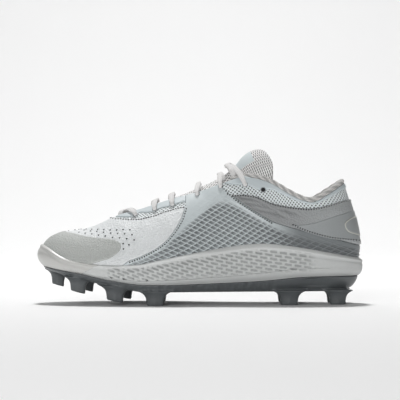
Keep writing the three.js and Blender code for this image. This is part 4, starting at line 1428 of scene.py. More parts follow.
@dataclass
class Overlays:
    """The panels sewn and moulded over the upper."""

    materials: Materials
    sheet: Sheet
    edge: float = 0.9
    sink: float = 1.6

    def panel(self, outline: Points, base: float, thick: float, creases: list[Crease],
              side: Side = Side.BOTH, sheet: Sheet | None = None) -> tuple[Sheet, Points]:
        """Cuts a panel from the sheet and gives it a thickness.

        Args:
            outline: Its outline seen from the side.
            base: Distance from the last to what it lies on.
            thick: Thickness of the panel.
            creases: Creases that cross it.
            side: The side that it covers.
            sheet: A finer sheet to cut it from.

        Returns:
            The cut sheet and its points.
        """
        cloth = sheet or self.sheet
        d = panel_distance(cloth.data, outline)
        cloth = Sheet(cloth.data.copy(), cloth.faces)
        cloth.data[:, INSIDE] = np.minimum(d, cloth.data[:, FREE])
        if side is not Side.BOTH:
            beside = (cloth.data[:, 1] - LAST.crest_y(cloth.data[:, 0])) * side.value
            cloth.data[:, INSIDE] = np.minimum(cloth.data[:, INSIDE], beside)
        cloth = cloth.part(cloth.data[:, INSIDE] > -3.0)
        for level in (0.0, 0.12 * self.edge, 0.4 * self.edge, self.edge):
            cloth = cloth.cut(level)
        inside = cloth.data[cloth.faces][:, :, INSIDE].mean(axis=1) > 0
        cloth = cloth.tidy(cloth.faces[inside])
        d = cloth.data[:, INSIDE]
        high = rounded(d, thick, self.edge)
        tucked = smoothstep(0.2, 3.0, cloth.data[:, LIP]) * self.sink
        offset = base + high - tucked * (base + high > WALL)
        offset = offset + relief(cloth.data, creases) * smoothstep(0, 2, d)
        points = cloth.data[:, :3] + cloth.data[:, 3:6] * offset[:, None]
        return cloth, points

    def make(self, name: str, outline: Points, base: float, thick: float, finish: Finish, slot: str,
             creases: list[Crease], side: Side = Side.BOTH) -> None:
        """Cuts a panel and dresses it; its name is that of the solid that it stands for.

        Args:
            name: The solid's name.
            outline: Outline seen from the side.
            base: Distance from the last to what it lies on.
            thick: Thickness.
            finish: Its finish.
            slot: Not used.
            creases: Creases that cross it.
            side: The side that it covers.
        """
        cloth, points = self.panel(outline, base, thick, creases, side)
        obj = make_mesh(f"{name}_panel", points, cloth.faces, panel_values(cloth))
        finished(obj, self.materials.make(f"{name}_finish", finish), slot, name)


def panel_values(cloth: Sheet) -> dict[str, Points]:
    """What the materials read from a panel's corners.

    Args:
        cloth: The cut sheet.

    Returns:
        Values by name.
    """
    flat = cloth_map(cloth.data[:, ROUND], cloth.data[:, UP])
    paler = 0.55 * smoothstep(70.0, 125.0, cloth.data[:, 0])
    return {"rim": cloth.data[:, INSIDE].copy(), "cloth": flat, "tone": paler}


def corners(*places: tuple[float, float]) -> Points:
    """Corners of an outline, each a share of the length and a height in millimetres."""
    return np.array([[LAST.x_of(along), z] for along, z in places])


# Where the cage's cells open up, seen from the side
OPEN_TOP = [[0.28, 0.05], [0.34, 0.11], [0.395, 0.2], [0.44, 0.297], [0.47, 0.379], [0.5, 0.451],
            [0.539, 0.549], [0.575, 0.576], [0.62, 0.531], [0.686, 0.415], [0.8, 0.255], [1.02, 0.13]]


# Lattice: place from toe to heel, cells passed there, and cells that a rising bar passes for each
# millimetre up
LATTICE = np.array([
    [-90.0, -3.2, 0.27], [-60.0, 0.0, 0.27], [-30.0, 3.24, 0.22], [0.0, 6.4, 0.18], [30.0, 10.1, 0.18],
    [60.0, 13.9, 0.18], [100.0, 18.1, 0.18], [140.0, 22.1, 0.18],
])

# Cage: how far a bar's slope goes to each side of its line, the heights below the open cells' top line
# between which cells open and faint ones fade in, the way in from the outline over which cells start,
# and the places along where the heel's paler lattice and the shade before it set in
BAR_SLOPE = (0.14, 0.08)
OPENING = (-2.5, 3.5)
FADING = (-16.0, -3.0)
CELL_START = (2.0, 4.5)
HEEL_FADE = (55.0, 92.0)
BACK_FADE = (20.0, 70.0)


@dataclass
class Cage:
    """The saddle over the instep and the diamond lattice below it."""

    overlays: Overlays
    base: float = 2.0
    thick: float = 1.15
    falling: float = 0.27
    level: float = 50.0
    bar: float = 0.18
    floor: float = 0.15
    pressed: float = 0.92
    faint: float = 0.16
    heel_shade: float = 0.72
    back_shade: float = 0.12
    # Dark underlay colour seen in the cells, and the painted shade ramp across each cell
    cell_shade: float = 1.1
    painted_cell_ramp: float = 0.6

    def outline(self) -> Points:
        """The cage's outline seen from the side.

        Returns:
            Its corners.
        """
        return np.concatenate([
            drawn(SADDLE_FRONT), drawn(VAMP_BACK), lip_line(0.27, 1.02, -6.0),
            drawn(CAGE_HEEL)[::-1], drawn(SADDLE_BACK)[::-1],
        ])

    def build(self) -> None:
        """Cuts the cage from a finer sheet and presses the lattice into it."""
        fine = Sheet.woven(0.62, 135)
        cloth, points = self.overlays.panel(self.outline(), self.base, self.thick, CAGE_CREASES,
                                            sheet=fine)
        x = cloth.data[:, 0]
        z = cloth.data[:, 2]
        passed = curve(LATTICE, 1, x)
        rising = (passed - (z - self.level) * curve(LATTICE, 2, x)) % 1.0
        falling = (passed + z * self.falling) % 1.0
        near = np.maximum(np.abs(falling - 0.5) * 2, np.abs(rising - 0.5) * 2)
        line = smoothstep(1 - self.bar - BAR_SLOPE[0], 1 - self.bar + BAR_SLOPE[1], near)
        top = drawn(OPEN_TOP, 2.0)
        below = np.interp(x, top[:, 0], top[:, 1]) - z
        heel = smoothstep(*HEEL_FADE, x)
        opened = smoothstep(*OPENING, below) * (1 - 0.5 * heel)
        faint = smoothstep(*FADING, below) * self.faint
        cell = (1 - line) * smoothstep(*CELL_START, cloth.data[:, INSIDE])
        depth = cell * np.maximum(opened * self.pressed, faint) * self.thick
        offset = ((points - cloth.data[:, :3]) * cloth.data[:, 3:6]).sum(axis=1)
        floor = np.maximum(offset - depth, np.minimum(offset, WALL + self.floor))
        points = cloth.data[:, :3] + cloth.data[:, 3:6] * floor[:, None]
        # Cell floors take the dark underlay's colour, with a painted shade ramp across each cell
        underlay_and_painted_shade = self.cell_shade - self.painted_cell_ramp * rising
        shade = (cell * opened * underlay_and_painted_shade + heel * self.heel_shade
                 + smoothstep(*BACK_FADE, x) * self.back_shade)
        values = panel_values(cloth)
        values["tone"] = np.clip(shade, 0, 1)
        obj = make_mesh("cage_panel", points, cloth.faces, values)
        finished(obj, self.overlays.materials.make("cage_finish", CAGE_FINISH), "cage", "cage")


CAGE_CREASES = [
    Crease(((0.50, 0.70), (0.52, 0.60), (0.53, 0.50)), 5.0, 0.5),
    Crease(((0.60, 0.60), (0.63, 0.50), (0.67, 0.42)), 4.0, 0.35),
]
VAMP_CREASES = [
    Crease(((0.30, 0.40), (0.31, 0.30), (0.30, 0.20), (0.28, 0.12)), 5.0, 0.55),
    Crease(((0.36, 0.42), (0.375, 0.32), (0.36, 0.22)), 4.5, 0.45),
    Crease(((0.24, 0.38), (0.25, 0.30), (0.26, 0.22)), 5.5, 0.4),
]
TOE_CREASES = [
    Crease(((0.06, 0.2), (0.12, 0.13), (0.19, 0.10)), 4.0, 0.3),
]
QUARTER_CREASES = [
    Crease(((0.615, 0.62), (0.66, 0.60), (0.71, 0.545)), 1.3, 0.85),
    Crease(((0.63, 0.575), (0.68, 0.55), (0.745, 0.485)), 1.4, 0.95),
    Crease(((0.65, 0.53), (0.70, 0.50), (0.76, 0.45)), 1.3, 0.8),
    Crease(((0.69, 0.59), (0.74, 0.52), (0.80, 0.48)), 1.8, 0.7),
    Crease(((0.84, 0.51), (0.90, 0.545), (0.95, 0.575)), 2.6, 0.4),
]
NO_CREASES: list[Crease] = []


@dataclass
class Upper:
    """The upper's own wall, with its lining, and the panels over it."""

    materials: Materials
    overlays: Overlays
    step: float = 1.4
    rows: int = 60
    bends: int = 5
    crowding: float = 1.05
    bead: float = 0.8

    def wall(self) -> None:
        """The hollow wall, rounded over at the throat and the collar."""
        turn = LAST.turns(self.step)
        edge = LAST.edge(turn)
        lift = edge[:, None] * np.linspace(0, 1, self.rows) ** self.crowding
        outer = LAST.skin(turn[:, None], lift, WALL)
        inner = LAST.skin(turn[:, None], lift, 0.0)
        top = LAST.point(turn, edge)
        up = unit(top - LAST.point(turn, edge - EDGE_STEP))
        out = LAST.normal(turn, edge)
        opened = edge < QUARTER_TURN - TINY / 10
        bead = up * self.bead * opened[:, None]
        rims = [top + out * (1 + math.cos(bend)) * WALL / 2 + bead * math.sin(bend)
                for bend in np.linspace(0, math.pi, self.bends + 2)[1:-1]]
        rows = np.concatenate([outer, np.stack(rims, axis=1), inner[:, ::-1]], axis=1)
        n = rows.shape[1]
        faces = grid_faces(len(turn), n)[:, ::-1]
        column = faces.min(axis=1) % n
        row = faces.min(axis=1) // n
        last = self.rows - 1
        rim = (column >= last) & (column <= last + self.bends)
        keep = ~rim | opened[row] | opened[np.minimum(row + 1, len(turn) - 1)]
        across = np.broadcast_to(travelled(outer[:, last - 3])[:, None], rows.shape[:2])
        steps = np.linalg.norm(np.diff(rows, axis=1), axis=2)
        up_side = np.concatenate([np.zeros((len(turn), 1)), np.cumsum(steps, axis=1)], axis=1)
        points = rows.reshape(-1, 3)
        obj = make_mesh("upper_wall", points, faces[keep], rimless(points, cloth=cloth_map(across, up_side)))
        finished(obj, self.materials.make("mesh_finish", MESH_FINISH), "mesh", "upper")
        inside = (column > last + self.bends // 2)[keep]
        second_material(obj, self.materials.make("lining_finish", LINING_FINISH), inside)

    def panels(self) -> None:
        """The panels, from the toe back."""
        make = self.overlays.make
        vamp = np.concatenate([drawn(VAMP_TOP), drawn(VAMP_BACK),
                               corners((0.255, BELOW), (-0.1, BELOW), (-0.1, ABOVE), (0.2, ABOVE))])
        make("vamp", vamp, WALL, PANEL, VAMP_FINISH, "leather", VAMP_CREASES)
        cap = np.concatenate([drawn(TOE_CAP_TOP), corners((0.12, BELOW), (-0.1, BELOW))])
        make("toe_cap", cap, WALL + PANEL, FILM, FILM_FINISH, "film", TOE_CREASES)
        stay = np.concatenate([drawn(EYESTAY_LOW), corners((0.458, ABOVE), (0.2, ABOVE))])
        for side in (Side.OUTER, Side.INNER):
            make(f"eyestay_{side.name.lower()}", stay, WALL, PANEL, EYESTAY_FINISH, "cage", NO_CREASES, side)
        quarter = np.concatenate([drawn(QUARTER_TOP), corners((1.1, 100.0), (1.1, BELOW)),
                                  drawn(CAGE_HEEL)[::-1], drawn(SADDLE_BACK[2:])[::-1]])
        make("quarter", quarter, WALL, PANEL, QUARTER_FINISH, "quarter", QUARTER_CREASES)
        band = np.concatenate([drawn(BAND_LOW), corners((1.1, ABOVE), (0.561, ABOVE))])
        make("collar_band", band, WALL, PANEL, EYESTAY_FINISH, "mesh", NO_CREASES)
        counter = np.concatenate([drawn(COUNTER), drawn(COUNTER_LOW)])
        make("heel_counter", counter, WALL + PANEL, FILM, COUNTER_FINISH, "counter", NO_CREASES)
        make("heel_patch", drawn(PATCH), WALL + PANEL + FILM, FILM, PATCH_FINISH, "patch", NO_CREASES)

# Foam's dashes: share of a row and of a column over which a dash ends, shares of the side's height
# where they start and stop, and the places along where they start and stop
DASH_TALL = (0.2, 0.34)
DASH_WIDE = (0.3, 0.4)
DASH_LOW = (0.14, 0.3)
DASH_HIGH = (0.8, 0.9)
DASH_FRONT = (-88.0, -76.0)
DASH_BACK = (92.0, 108.0)
# Side: share of the height and reach of the lip and of the groove below it, and the shares where the
# painted shade below the lip and the one at the plate fade
LIP_PLACE = (0.89, 0.055)
GROOVE_PLACE = (0.76, 0.04)
LIP_FADE = (0.8, 0.88)
FOOT_FADE = (0.0, 0.22)
# Outsole: place and reach of a stud's ridge, how far sideways a side faces where it's pressed, and the
# places along where the waist's ribs start and stop
RIDGE_PLACE = (0.05, 0.1)
PRESSED_FACING = (0.35, 0.8)
WAIST_FRONT = (-78.0, -66.0)
WAIST_BACK = (62.0, 74.0)


@dataclass
class Sole:
    """The midsole, its toe bumper and the studded outsole."""

    materials: Materials
    step: float = 0.55
    dash_row: float = 3.3
    dash_column: float = 8.8
    dash_depth: float = 0.95
    dash_slope: float = 0.26
    dash_turn: float = 0.13
    dash_bend: float = 50.0
    # Painted shade in the dashes' recesses, below the lit lip and at the foot by the plate
    dash_shade: float = 0.42
    lip_shade: float = 0.22
    foot_shade: float = 0.3
    side_least: float = 1.5
    side_round: int = 24
    lip_swell: float = 0.75
    lip_groove: float = 0.3
    lip_inset: float = 0.9
    bed_width: float = 14.0
    stud_long: float = 14.5
    stud_wide: float = 8.5
    stud_sides: int = 40
    stud_taper: float = 0.12
    stud_flare: float = 0.62
    stud_square: float = 0.42
    stud_half: float = 0.46
    stud_ridge: float = 0.09
    tip_round: float = 0.05
    tip_height: float = 0.06
    narrowing: float = 0.3
    narrow_from: float = 0.2
    narrow_over: float = 0.3
    plate_step: float = 1.2
    plate_inset: float = 1.5
    plate_slope: float = 0.75
    voxel: float = 0.00085
    voxel_quick: float = 0.0016
    deck_rows: int = 60
    rib_pitch: float = 7.6
    rib_depth: float = 0.9
    hollow_depth: float = 2.2
    hollow_along: float = 0.845
    hollow_long: float = 9.0

    def dashes(self, x: Points, z: Points, low: Points, high: Points) -> Points:
        """Mask of the slanted dashes in the foam's side.

        Args:
            x: Places along.
            z: Heights.
            low: The side's lower edge.
            high: The lip.

        Returns:
            The mask, 0 to 1.
        """
        slant = self.dash_slope * x - self.dash_turn * self.dash_bend * np.log(np.cosh(x / self.dash_bend))
        row = (z + slant) / self.dash_row
        number = np.floor(row)
        column = x / self.dash_column + 0.5 * (number % 2)
        tall = 1 - smoothstep(*DASH_TALL, np.abs(row - number - 0.5))
        wide = 1 - smoothstep(*DASH_WIDE, np.abs(column % 1.0 - 0.5))
        share = (z - low) / (high - low)
        room = smoothstep(*DASH_LOW, share) * (1 - smoothstep(*DASH_HIGH, share))
        ends = smoothstep(*DASH_FRONT, x) * (1 - smoothstep(*DASH_BACK, x))
        return tall * wide * room * ends

    def side(self, turn: Points, rows: int) -> tuple[Points, Points, Points]:
        """The whole side of the midsole: its points, its dashes and its share of the height.

        Args:
            turn: Angle round the shoe.
            rows: Rows of points up the side.

        Returns:
            The points, the dashes and the share of the height.
        """
        foot = LAST.point(turn, 0.0)[:, 0]
        low = LAST.plate_top(foot) + GAP / 2
        high = LAST.wall_top(foot)
        share = np.linspace(0, 1, rows)
        z = mix(low[:, None], high[:, None], share)
        out = LAST.wall_out(foot)[:, None] * curve(SIDE_ROWS, 1, share)[None]
        lip = self.lip_swell * bump(share, *LIP_PLACE) - self.lip_groove * bump(share, *GROOVE_PLACE)
        out = np.maximum(out + lip, self.side_least * np.sqrt(np.clip(1 - share**self.side_round, 0, 1)))
        points = LAST.side_point(turn[:, None], z, out)
        holes = self.dashes(points[..., 0], points[..., 2], low[:, None], high[:, None])
        deeper = out - self.dash_depth * holes
        return LAST.side_point(turn[:, None], z, deeper), holes, np.broadcast_to(share, z.shape)

    def midsole(self) -> None:
        """The foam and, in front of its seam, the bumper."""
        step = self.step
        turn = LAST.turns(step)
        rows = 56
        side, holes, share = self.side(turn, rows)
        foot = LAST.point(turn, 0.0)[:, 0]
        high = LAST.wall_top(foot)
        low = LAST.plate_top(foot) + GAP / 2
        bed = LAST.bed(foot)
        inner_top = LAST.side_point(turn, high, -self.lip_inset)
        inner_low = LAST.edge_point(turn, 1.0, bed)
        middle_top = LAST.edge_point(turn, -self.bed_width, bed)
        middle_low = LAST.edge_point(turn, -self.bed_width, low)
        ring = np.concatenate([middle_low[:, None], side[:, :1], side, inner_top[:, None],
                               inner_low[:, None], middle_top[:, None]], axis=1)
        # Painted shade: darker below the lip, at the foot by the plate and in the dashes
        shade = (self.lip_shade * (1 - smoothstep(*LIP_FADE, share))
                 + self.foot_shade * (1 - smoothstep(*FOOT_FADE, share)))
        painted_side_shade = np.clip(np.pad(self.dash_shade * holes + shade, ((0, 0), (2, 3))), 0, 1).ravel()
        faces = grid_faces(len(turn), ring.shape[1], True)
        points = ring.reshape(-1, 3)
        seam = drawn(BUMPER_SEAM)
        slope = (seam[0] - seam[-1]) / (seam[0, 1] - seam[-1, 1])
        beside = points[:, 0] - (seam[-1, 0] + slope[0] * (points[:, 2] - seam[-1, 1]))
        front = (beside < 0)[faces].all(axis=1)
        # Distance from the bumper's seam, along which the rim group paints a thin line of shade
        rim = np.abs(beside) / math.hypot(1.0, slope[0])
        for name, keep, finish, slot in (("midsole", ~front, FOAM_FINISH, "foam"),
                                         ("toe_bumper", front, BUMPER_FINISH, "bumper")):
            used, same = np.unique(faces[keep], return_inverse=True)
            obj = make_mesh(f"{name}_side", points[used], same.reshape(-1, 4),
                            {"tone": painted_side_shade[used], "rim": rim[used]})
            finished(obj, self.materials.make(f"{name}_finish", finish), slot, name)

    def stud(self, along: float, across: float, size: float) -> tuple[Points, Points]:
        """One stud, from its tip on the floor into the plate, with flared sides.

        Args:
            along: Share of the length.
            across: Share of the half width.
            size: Its size.

        Returns:
            Points and quads.
        """
        x = float(LAST.x_of(along))
        side = -1.0 if across < 0 else 1.0
        turn = np.array([side * float(LAST.turn_at_foot(along))])
        reach = np.array([plate_reach(np.array(x))])
        outer = LAST.edge_point(turn, reach, 0.0)[0]
        inner = LAST.edge_point(-turn, reach, 0.0)[0]
        middle = (outer[1] + inner[1]) / 2
        centre = middle + (outer[1] - middle) * abs(across)
        angle = np.linspace(0, 2 * math.pi, self.stud_sides, endpoint=False)
        rings = []
        for up in STUD_LEVELS:
            tip = self.tip_round * max(0, 1 - up / self.tip_height)
            grow = 1 + self.stud_taper * up + self.stud_flare * up**5 - tip
            u = np.sign(np.cos(angle)) * np.abs(np.cos(angle)) ** self.stud_square * 0.5
            v = np.sign(np.sin(angle)) * np.abs(np.sin(angle)) ** 0.5 * self.stud_half
            front = np.clip(-u - self.narrow_from, 0, self.narrow_over)
            v = v * (1 - self.narrowing * front / self.narrow_over)
            ridge = self.stud_ridge * bump(u, *RIDGE_PLACE) * np.sign(v) * (1 - up**3)
            px = x + u * self.stud_long * size * grow
            py = centre - side * (v + ridge) * self.stud_wide * size * grow
            ground = LAST.spring(x + u * self.stud_long * size)
            rings.append(np.stack([px, py, ground + LAST.stud_height * up], axis=1))
        n = self.stud_sides
        j = np.arange(n // 2 - 1)
        cap = np.stack([j, j + 1, n - 2 - j, n - 1 - j], axis=1)
        faces = [grid_faces(len(rings), n, True), cap[:, ::-1], cap + (len(rings) - 1) * n]
        return np.concatenate(rings), np.concatenate(faces)

    def plate(self) -> tuple[Points, Points]:
        """The outsole's plate as a closed form.

        Returns:
            Points and quads.
        """
        turn = LAST.turns(self.plate_step)
        foot = LAST.point(turn, 0.0)[:, 0]
        low = LAST.plate_bottom(foot)
        high = LAST.plate_top(foot)
        reach = plate_reach(foot)
        inset = self.plate_inset + self.plate_slope * (high - low)
        rows = []
        for share, out in PLATE_PROFILE:
            rows.append(LAST.edge_point(turn, reach - inset * out, mix(low, high, share)))
        side = np.stack(rows, axis=1)
        parts = [(side.reshape(-1, 3), grid_faces(len(turn), side.shape[1]))]
        for ring in (side[:, 0], side[:, -1]):
            deck = decked(ring, self.deck_rows)
            parts.append((deck.reshape(-1, 3), grid_faces(*deck.shape[:2])))
        return joined(parts)

    def outsole(self) -> None:
        """The plate and studs, melted together and pressed with ribs along the waist."""
        parts = [self.plate()] + [self.stud(*row) for row in STUDS]
        raw = make_mesh("outsole_raw", *joined(parts))
        voxel = self.voxel
        add_modifier(raw, "REMESH", mode="VOXEL", voxel_size=voxel)
        add_modifier(raw, "SMOOTH", factor=0.5, iterations=3)
        points, faces, out = baked(raw)
        x, z = points[:, 0], points[:, 2]
        low, high = LAST.plate_bottom(x), LAST.plate_top(x)
        beside = smoothstep(*PRESSED_FACING, np.abs(out[:, 1]))
        tall = smoothstep(low - 1, low + 2, z) * (1 - smoothstep(high - 2.5, high - 0.5, z))
        waist = smoothstep(*WAIST_FRONT, x) * (1 - smoothstep(*WAIST_BACK, x))
        rib = 0.5 - 0.5 * np.cos(2 * math.pi * x / self.rib_pitch)
        hollow = bump(x, float(LAST.x_of(self.hollow_along)), self.hollow_long)
        pressed = self.rib_depth * rib * waist + self.hollow_depth * hollow
        points = points - out * (pressed * beside * tall)[:, None]
        points[:, 2] = np.maximum(points[:, 2], 0.0)
        obj = make_mesh("outsole_form", points, faces, rimless(points))
        finished(obj, self.materials.make("outsole_finish", OUTSOLE_FINISH), "outsole", "outsole")


# Share of the plate's height, and how much of its slope it is set in there
PLATE_PROFILE = ((0.0, 1.0), (0.1, 0.8), (0.3, 0.45), (0.5, 0.25), (0.7, 0.12), (0.9, 0.03), (1.0, 0.0))
# Levels of a stud's rings as shares of its height, up into the plate
STUD_LEVELS = (0, 0.03, 0.1, 0.25, 0.45, 0.6, 0.72, 0.82, 0.9, 0.96, 1.02, 1.12)
# Studs: along, across as a share of the half width, and size
STUDS = (
    (0.062, 0.0, 0.75), (0.13, -0.78, 0.9), (0.143, 0.78, 0.9), (0.244, -0.84, 1.0), (0.26, 0.84, 1.0),
    (0.3655, -0.84, 1.05), (0.367, 0.84, 1.05), (0.7695, -0.78, 1.05), (0.7695, 0.78, 1.05),
    (0.9185, -0.72, 0.97), (0.9185, 0.72, 0.97),
)


def plate_reach(x: Points) -> Points:
    """How far the outsole's outline stands out of the last's bottom edge."""
    return WALL + LAST.wall_out(x) * SIDE_ROWS[0, 1]


def add_modifier(obj: bpy.types.Object, kind: str, **settings: object) -> None:
    """Adds a modifier with its settings.

    Args:
        obj: The object.
        kind: Type of the modifier.
        settings: Its settings by name.
    """
    modifier = obj.modifiers.new(kind.title(), kind)
    for key, value in settings.items():
        setattr(modifier, key, value)


def baked(obj: bpy.types.Object) -> tuple[Points, Points, Points]:
    """Applies an object's modifiers and takes it out of the scene.

    Args:
        obj: The object, whose result is made of quads or triangles.

    Returns:
        Its points in millimetres of the shoe, its triangles and its outward directions.
    """
    graph = bpy.context.evaluated_depsgraph_get()
    mesh = bpy.data.meshes.new_from_object(obj.evaluated_get(graph))
    mesh.calc_loop_triangles()
    points = np.empty(len(mesh.vertices) * 3, np.float32)
    mesh.vertices.foreach_get("co", points)
    out = np.empty(len(mesh.vertices) * 3, np.float32)
    mesh.vertex_normals.foreach_get("vector", out)
    faces = np.empty(len(mesh.loop_triangles) * 3, np.int32)
    mesh.loop_triangles.foreach_get("vertices", faces)
    bpy.data.objects.remove(obj)
    bpy.data.meshes.remove(mesh)
    return (points.reshape(-1, 3).astype(float) / MM - ORIGIN, faces.reshape(-1, 3),
            out.reshape(-1, 3).astype(float))


@dataclass
class Knits:
    """The knitted collar roll, the tongue and the insole."""

    materials: Materials
    roll: float = 4.6
    roll_start: float = 0.63
    roll_ends: tuple[float, ...] = (0.58, 0.594, 0.608)
    strands: int = 3
    twist: float = 9.0
    pad: float = 10.0
    roll_sides: int = 24
    lobe: float = 0.1
    tongue_width: float = 56.0
    tongue_edge: float = 2.5
    tongue_sunk: float = 2.5
    tongue_half: int = 26
    crown: float = 0.8
    knit_relief: float = 0.32
    knit_pitch: float = 3.4
    knit_row: float = 1.25
    knit_girth: float = 120.0
    label_rows: tuple[int, int] = (92, 126)
    label_half: int = 11
    insole_thick: float = 3.5
    insole_dip: float = 1.2

    def collar(self) -> None:
        """The twisted roll on the collar's edge."""
        start = float(LAST.turn_at_crest(self.roll_start))
        ends = LAST.turn_at_crest(np.array(self.roll_ends))
        half = np.concatenate([ends, np.linspace(start, math.pi, 500)])
        turn = np.concatenate([half, -half[:-1][::-1]])
        edge = LAST.edge(turn)
        up = unit(LAST.point(turn, edge) - LAST.point(turn, edge - EDGE_STEP))
        path = LAST.skin(turn, edge, WALL / 2) + up * self.roll / 2
        far = travelled(path)
        even = np.linspace(0, far[-1], 900)
        outs = unit(read_at(even, far, LAST.normal(turn, edge)))
        path = eased(read_at(even, far, path), 8)
        sides = self.roll_sides
        points, faces = swept(path, outs, self.roll, self.roll, sides)
        middle = np.repeat(path, sides, axis=0)
        angle = np.tile(np.linspace(0, 2 * math.pi, sides, endpoint=False), len(path))
        far = np.repeat(even, sides)
        lobes = np.cos(self.strands * (angle + 2 * math.pi * far / (self.twist * self.strands)))
        points = middle + (points - middle) * (1 + self.lobe * lobes)[:, None]
        # Tone darkens the grooves between the twisted strands: painted shade
        obj = make_mesh("collar_roll_knit", points, faces, rimless(
            points, cloth=cloth_map(far, angle / (2 * math.pi) * 16), tone=(0.5 - 0.5 * lobes) * 0.8))
        finished(obj, self.materials.make("roll_finish", ROLL_FINISH), "knit", "collar_roll")

    def cross_lift(self, turn: Points, distance: Points) -> Points:
        """The lift at a distance across from the top line.

        Args:
            turn: Angle round the shoe.
            distance: The distance across.

        Returns:
            The lifts.
        """

        def beyond(lift: Points) -> Points:
            """Whether the skin at a lift is further out than the distance."""
            p = LAST.point(turn, lift)
            return np.abs(p[..., 1] - LAST.crest_y(p[..., 0])) > distance

        return narrowed(beyond, turn.shape)[1]

    def tongue(self) -> None:
        """The tongue, thin under the laces and padded above them."""
        along = np.concatenate([np.linspace(0.2, 0.6, 90), np.linspace(0.603, 0.712, 60)])
        j = np.linspace(0, 1, self.tongue_half + 1)
        back = curve(TONGUE_ROWS, 4, along)
        width = self.tongue_width / 2 * curve(TONGUE_ROWS, 3, along)
        top = curve(TONGUE_ROWS, 1, along)
        thick = curve(TONGUE_ROWS, 2, along)
        faces_of = []
        for level in (top, top - thick):
            halves = []
            for side in (-1, 1):
                turn = side * LAST.turn_at_crest(along[:, None] - back[:, None] * (1 - j))
                start = self.cross_lift(turn, np.broadcast_to(width[:, None], turn.shape))
                lift = mix(start, QUARTER_TURN, j)
                edge = -self.tongue_sunk - GAP - (0 if level is top else self.tongue_edge)
                offset = mix(edge, self.pad * level[:, None], smoothstep(0.3, 1.0, j)[None])
                halves.append(LAST.skin(turn, lift, offset))
            faces_of.append(np.concatenate([halves[0], halves[1][:, :-1][:, ::-1]], axis=1))
        upper, lower = faces_of
        mid = (upper + lower) / 2
        left = mid[:, :1] + unit(upper[:, :1] - upper[:, 1:2])
        right = mid[:, -1:] + unit(upper[:, -1:] - upper[:, -2:-1])
        ring = np.concatenate([left, upper, right, lower[:, ::-1]], axis=1)
        shift = unit(ring[-1:] - ring[-2:-1]) * self.crown
        ring = np.concatenate([drawn_in(ring[:1], 0.2), ring, drawn_in(ring[-1:], 0.85) + shift,
                               drawn_in(ring[-1:], 0.35) + shift], axis=0)
        n = ring.shape[1]
        along_it = np.broadcast_to(np.arange(len(ring))[:, None] * self.knit_row, ring.shape[:2])
        round_it = np.broadcast_to(np.linspace(0, self.knit_girth, n)[None], ring.shape[:2])
        waves = [np.abs(np.sin(far * math.pi / self.knit_pitch)) for far in (along_it, round_it)]
        pillow = ring - ring.mean(axis=1, keepdims=True)
        points = (ring + unit(pillow) * (self.knit_relief * waves[0] * waves[1])[..., None]).reshape(-1, 3)
        quads = grid_faces(len(ring), n, True)
        obj = make_mesh("tongue_pad", points, quads, rimless(points, cloth=cloth_map(along_it, round_it)))
        finished(obj, self.materials.make("tongue_finish", TONGUE_FINISH), "knit", "tongue")
        row = quads.min(axis=1) // n
        column = quads.min(axis=1) % n
        label = (row > self.label_rows[0]) & (row < self.label_rows[1])
        label &= np.abs(column - self.tongue_half - 1) < self.label_half
        second_material(obj, self.materials.make("label_finish", LABEL_FINISH), label)

    def insole(self) -> None:
        """The removable sole inside, with a soft rim."""
        turn = LAST.turns(2.0)
        z = LAST.point(turn, 0.0)[:, 2]
        side = np.stack([LAST.edge_point(turn, -inset, z + self.insole_thick * up)
                         for inset, up in INSOLE_RIM], axis=1)
        deck = decked(side[:, -1], 24)
        deck[..., 2] -= self.insole_dip * np.sin(np.linspace(0, 1, deck.shape[1]) * math.pi)
        points, faces = joined([(side.reshape(-1, 3), grid_faces(len(turn), side.shape[1])),
                                (deck.reshape(-1, 3), grid_faces(*deck.shape[:2]))])
        obj = make_mesh("insole_pad", points, faces, rimless(points, cloth=cloth_map(points[:, 0],
                                                                                     points[:, 1])))
        finished(obj, self.materials.make("insole_finish", INSOLE_FINISH), "knit", "insole")


# Insole's rim from its foot up: how far in it stands, and its height as a share of the thickness
INSOLE_RIM = ((0.75, 0.0), (0.5, 0.3), (0.5, 0.8), (1.3, 1.0), (3.0, 1.04))
# Laces: where each row starts at the throat's edge, its eyelets, how far down they are, its rise
LACE_ROWS = (
    (0.276, 0.333, 1.5, 0.0), (0.371, 0.384, 1.5, 0.0), (0.42, 0.43, 1.5, 0.0),
    (0.5, 0.495, 0.5, 0.0), (0.564, 0.556, 0.5, 0.0), (0.592, 0.612, 1.3, 0.25),
)
FREE_EYELET = (0.65, 1.4)
# How a bar's end dives through its eyelet: how far on and how far in, in millimetres
LACE_DIVE = ((0.9, 0.9), (1.2, 2.0), (1.2, 3.2))
EYELET_DEPTH = 7.0
EYELET_CLEAR = 0.02
EYELET_START = (0.0, 1.0, 0.2)
HOLE_START = (0.13, 0.2, 0.97)
# Holes: share of the radius and height of each ring, and corners of a ring
HOLE_PROFILE = ((1.0, -0.15), (0.8, 0.22), (0.02, 0.3))
HOLE_SIDES = 10
# Eyelets: radius and height of each ring, and corners of a ring
EYELET_SIDES = 28
RING_PROFILE = ((2.55, -0.1), (2.35, 0.12), (1.95, 0.16), (1.75, -0.1))
EYELET_PROFILE = ((1.85, 0.02), (1.2, 0.0), (0.02, 0.0))


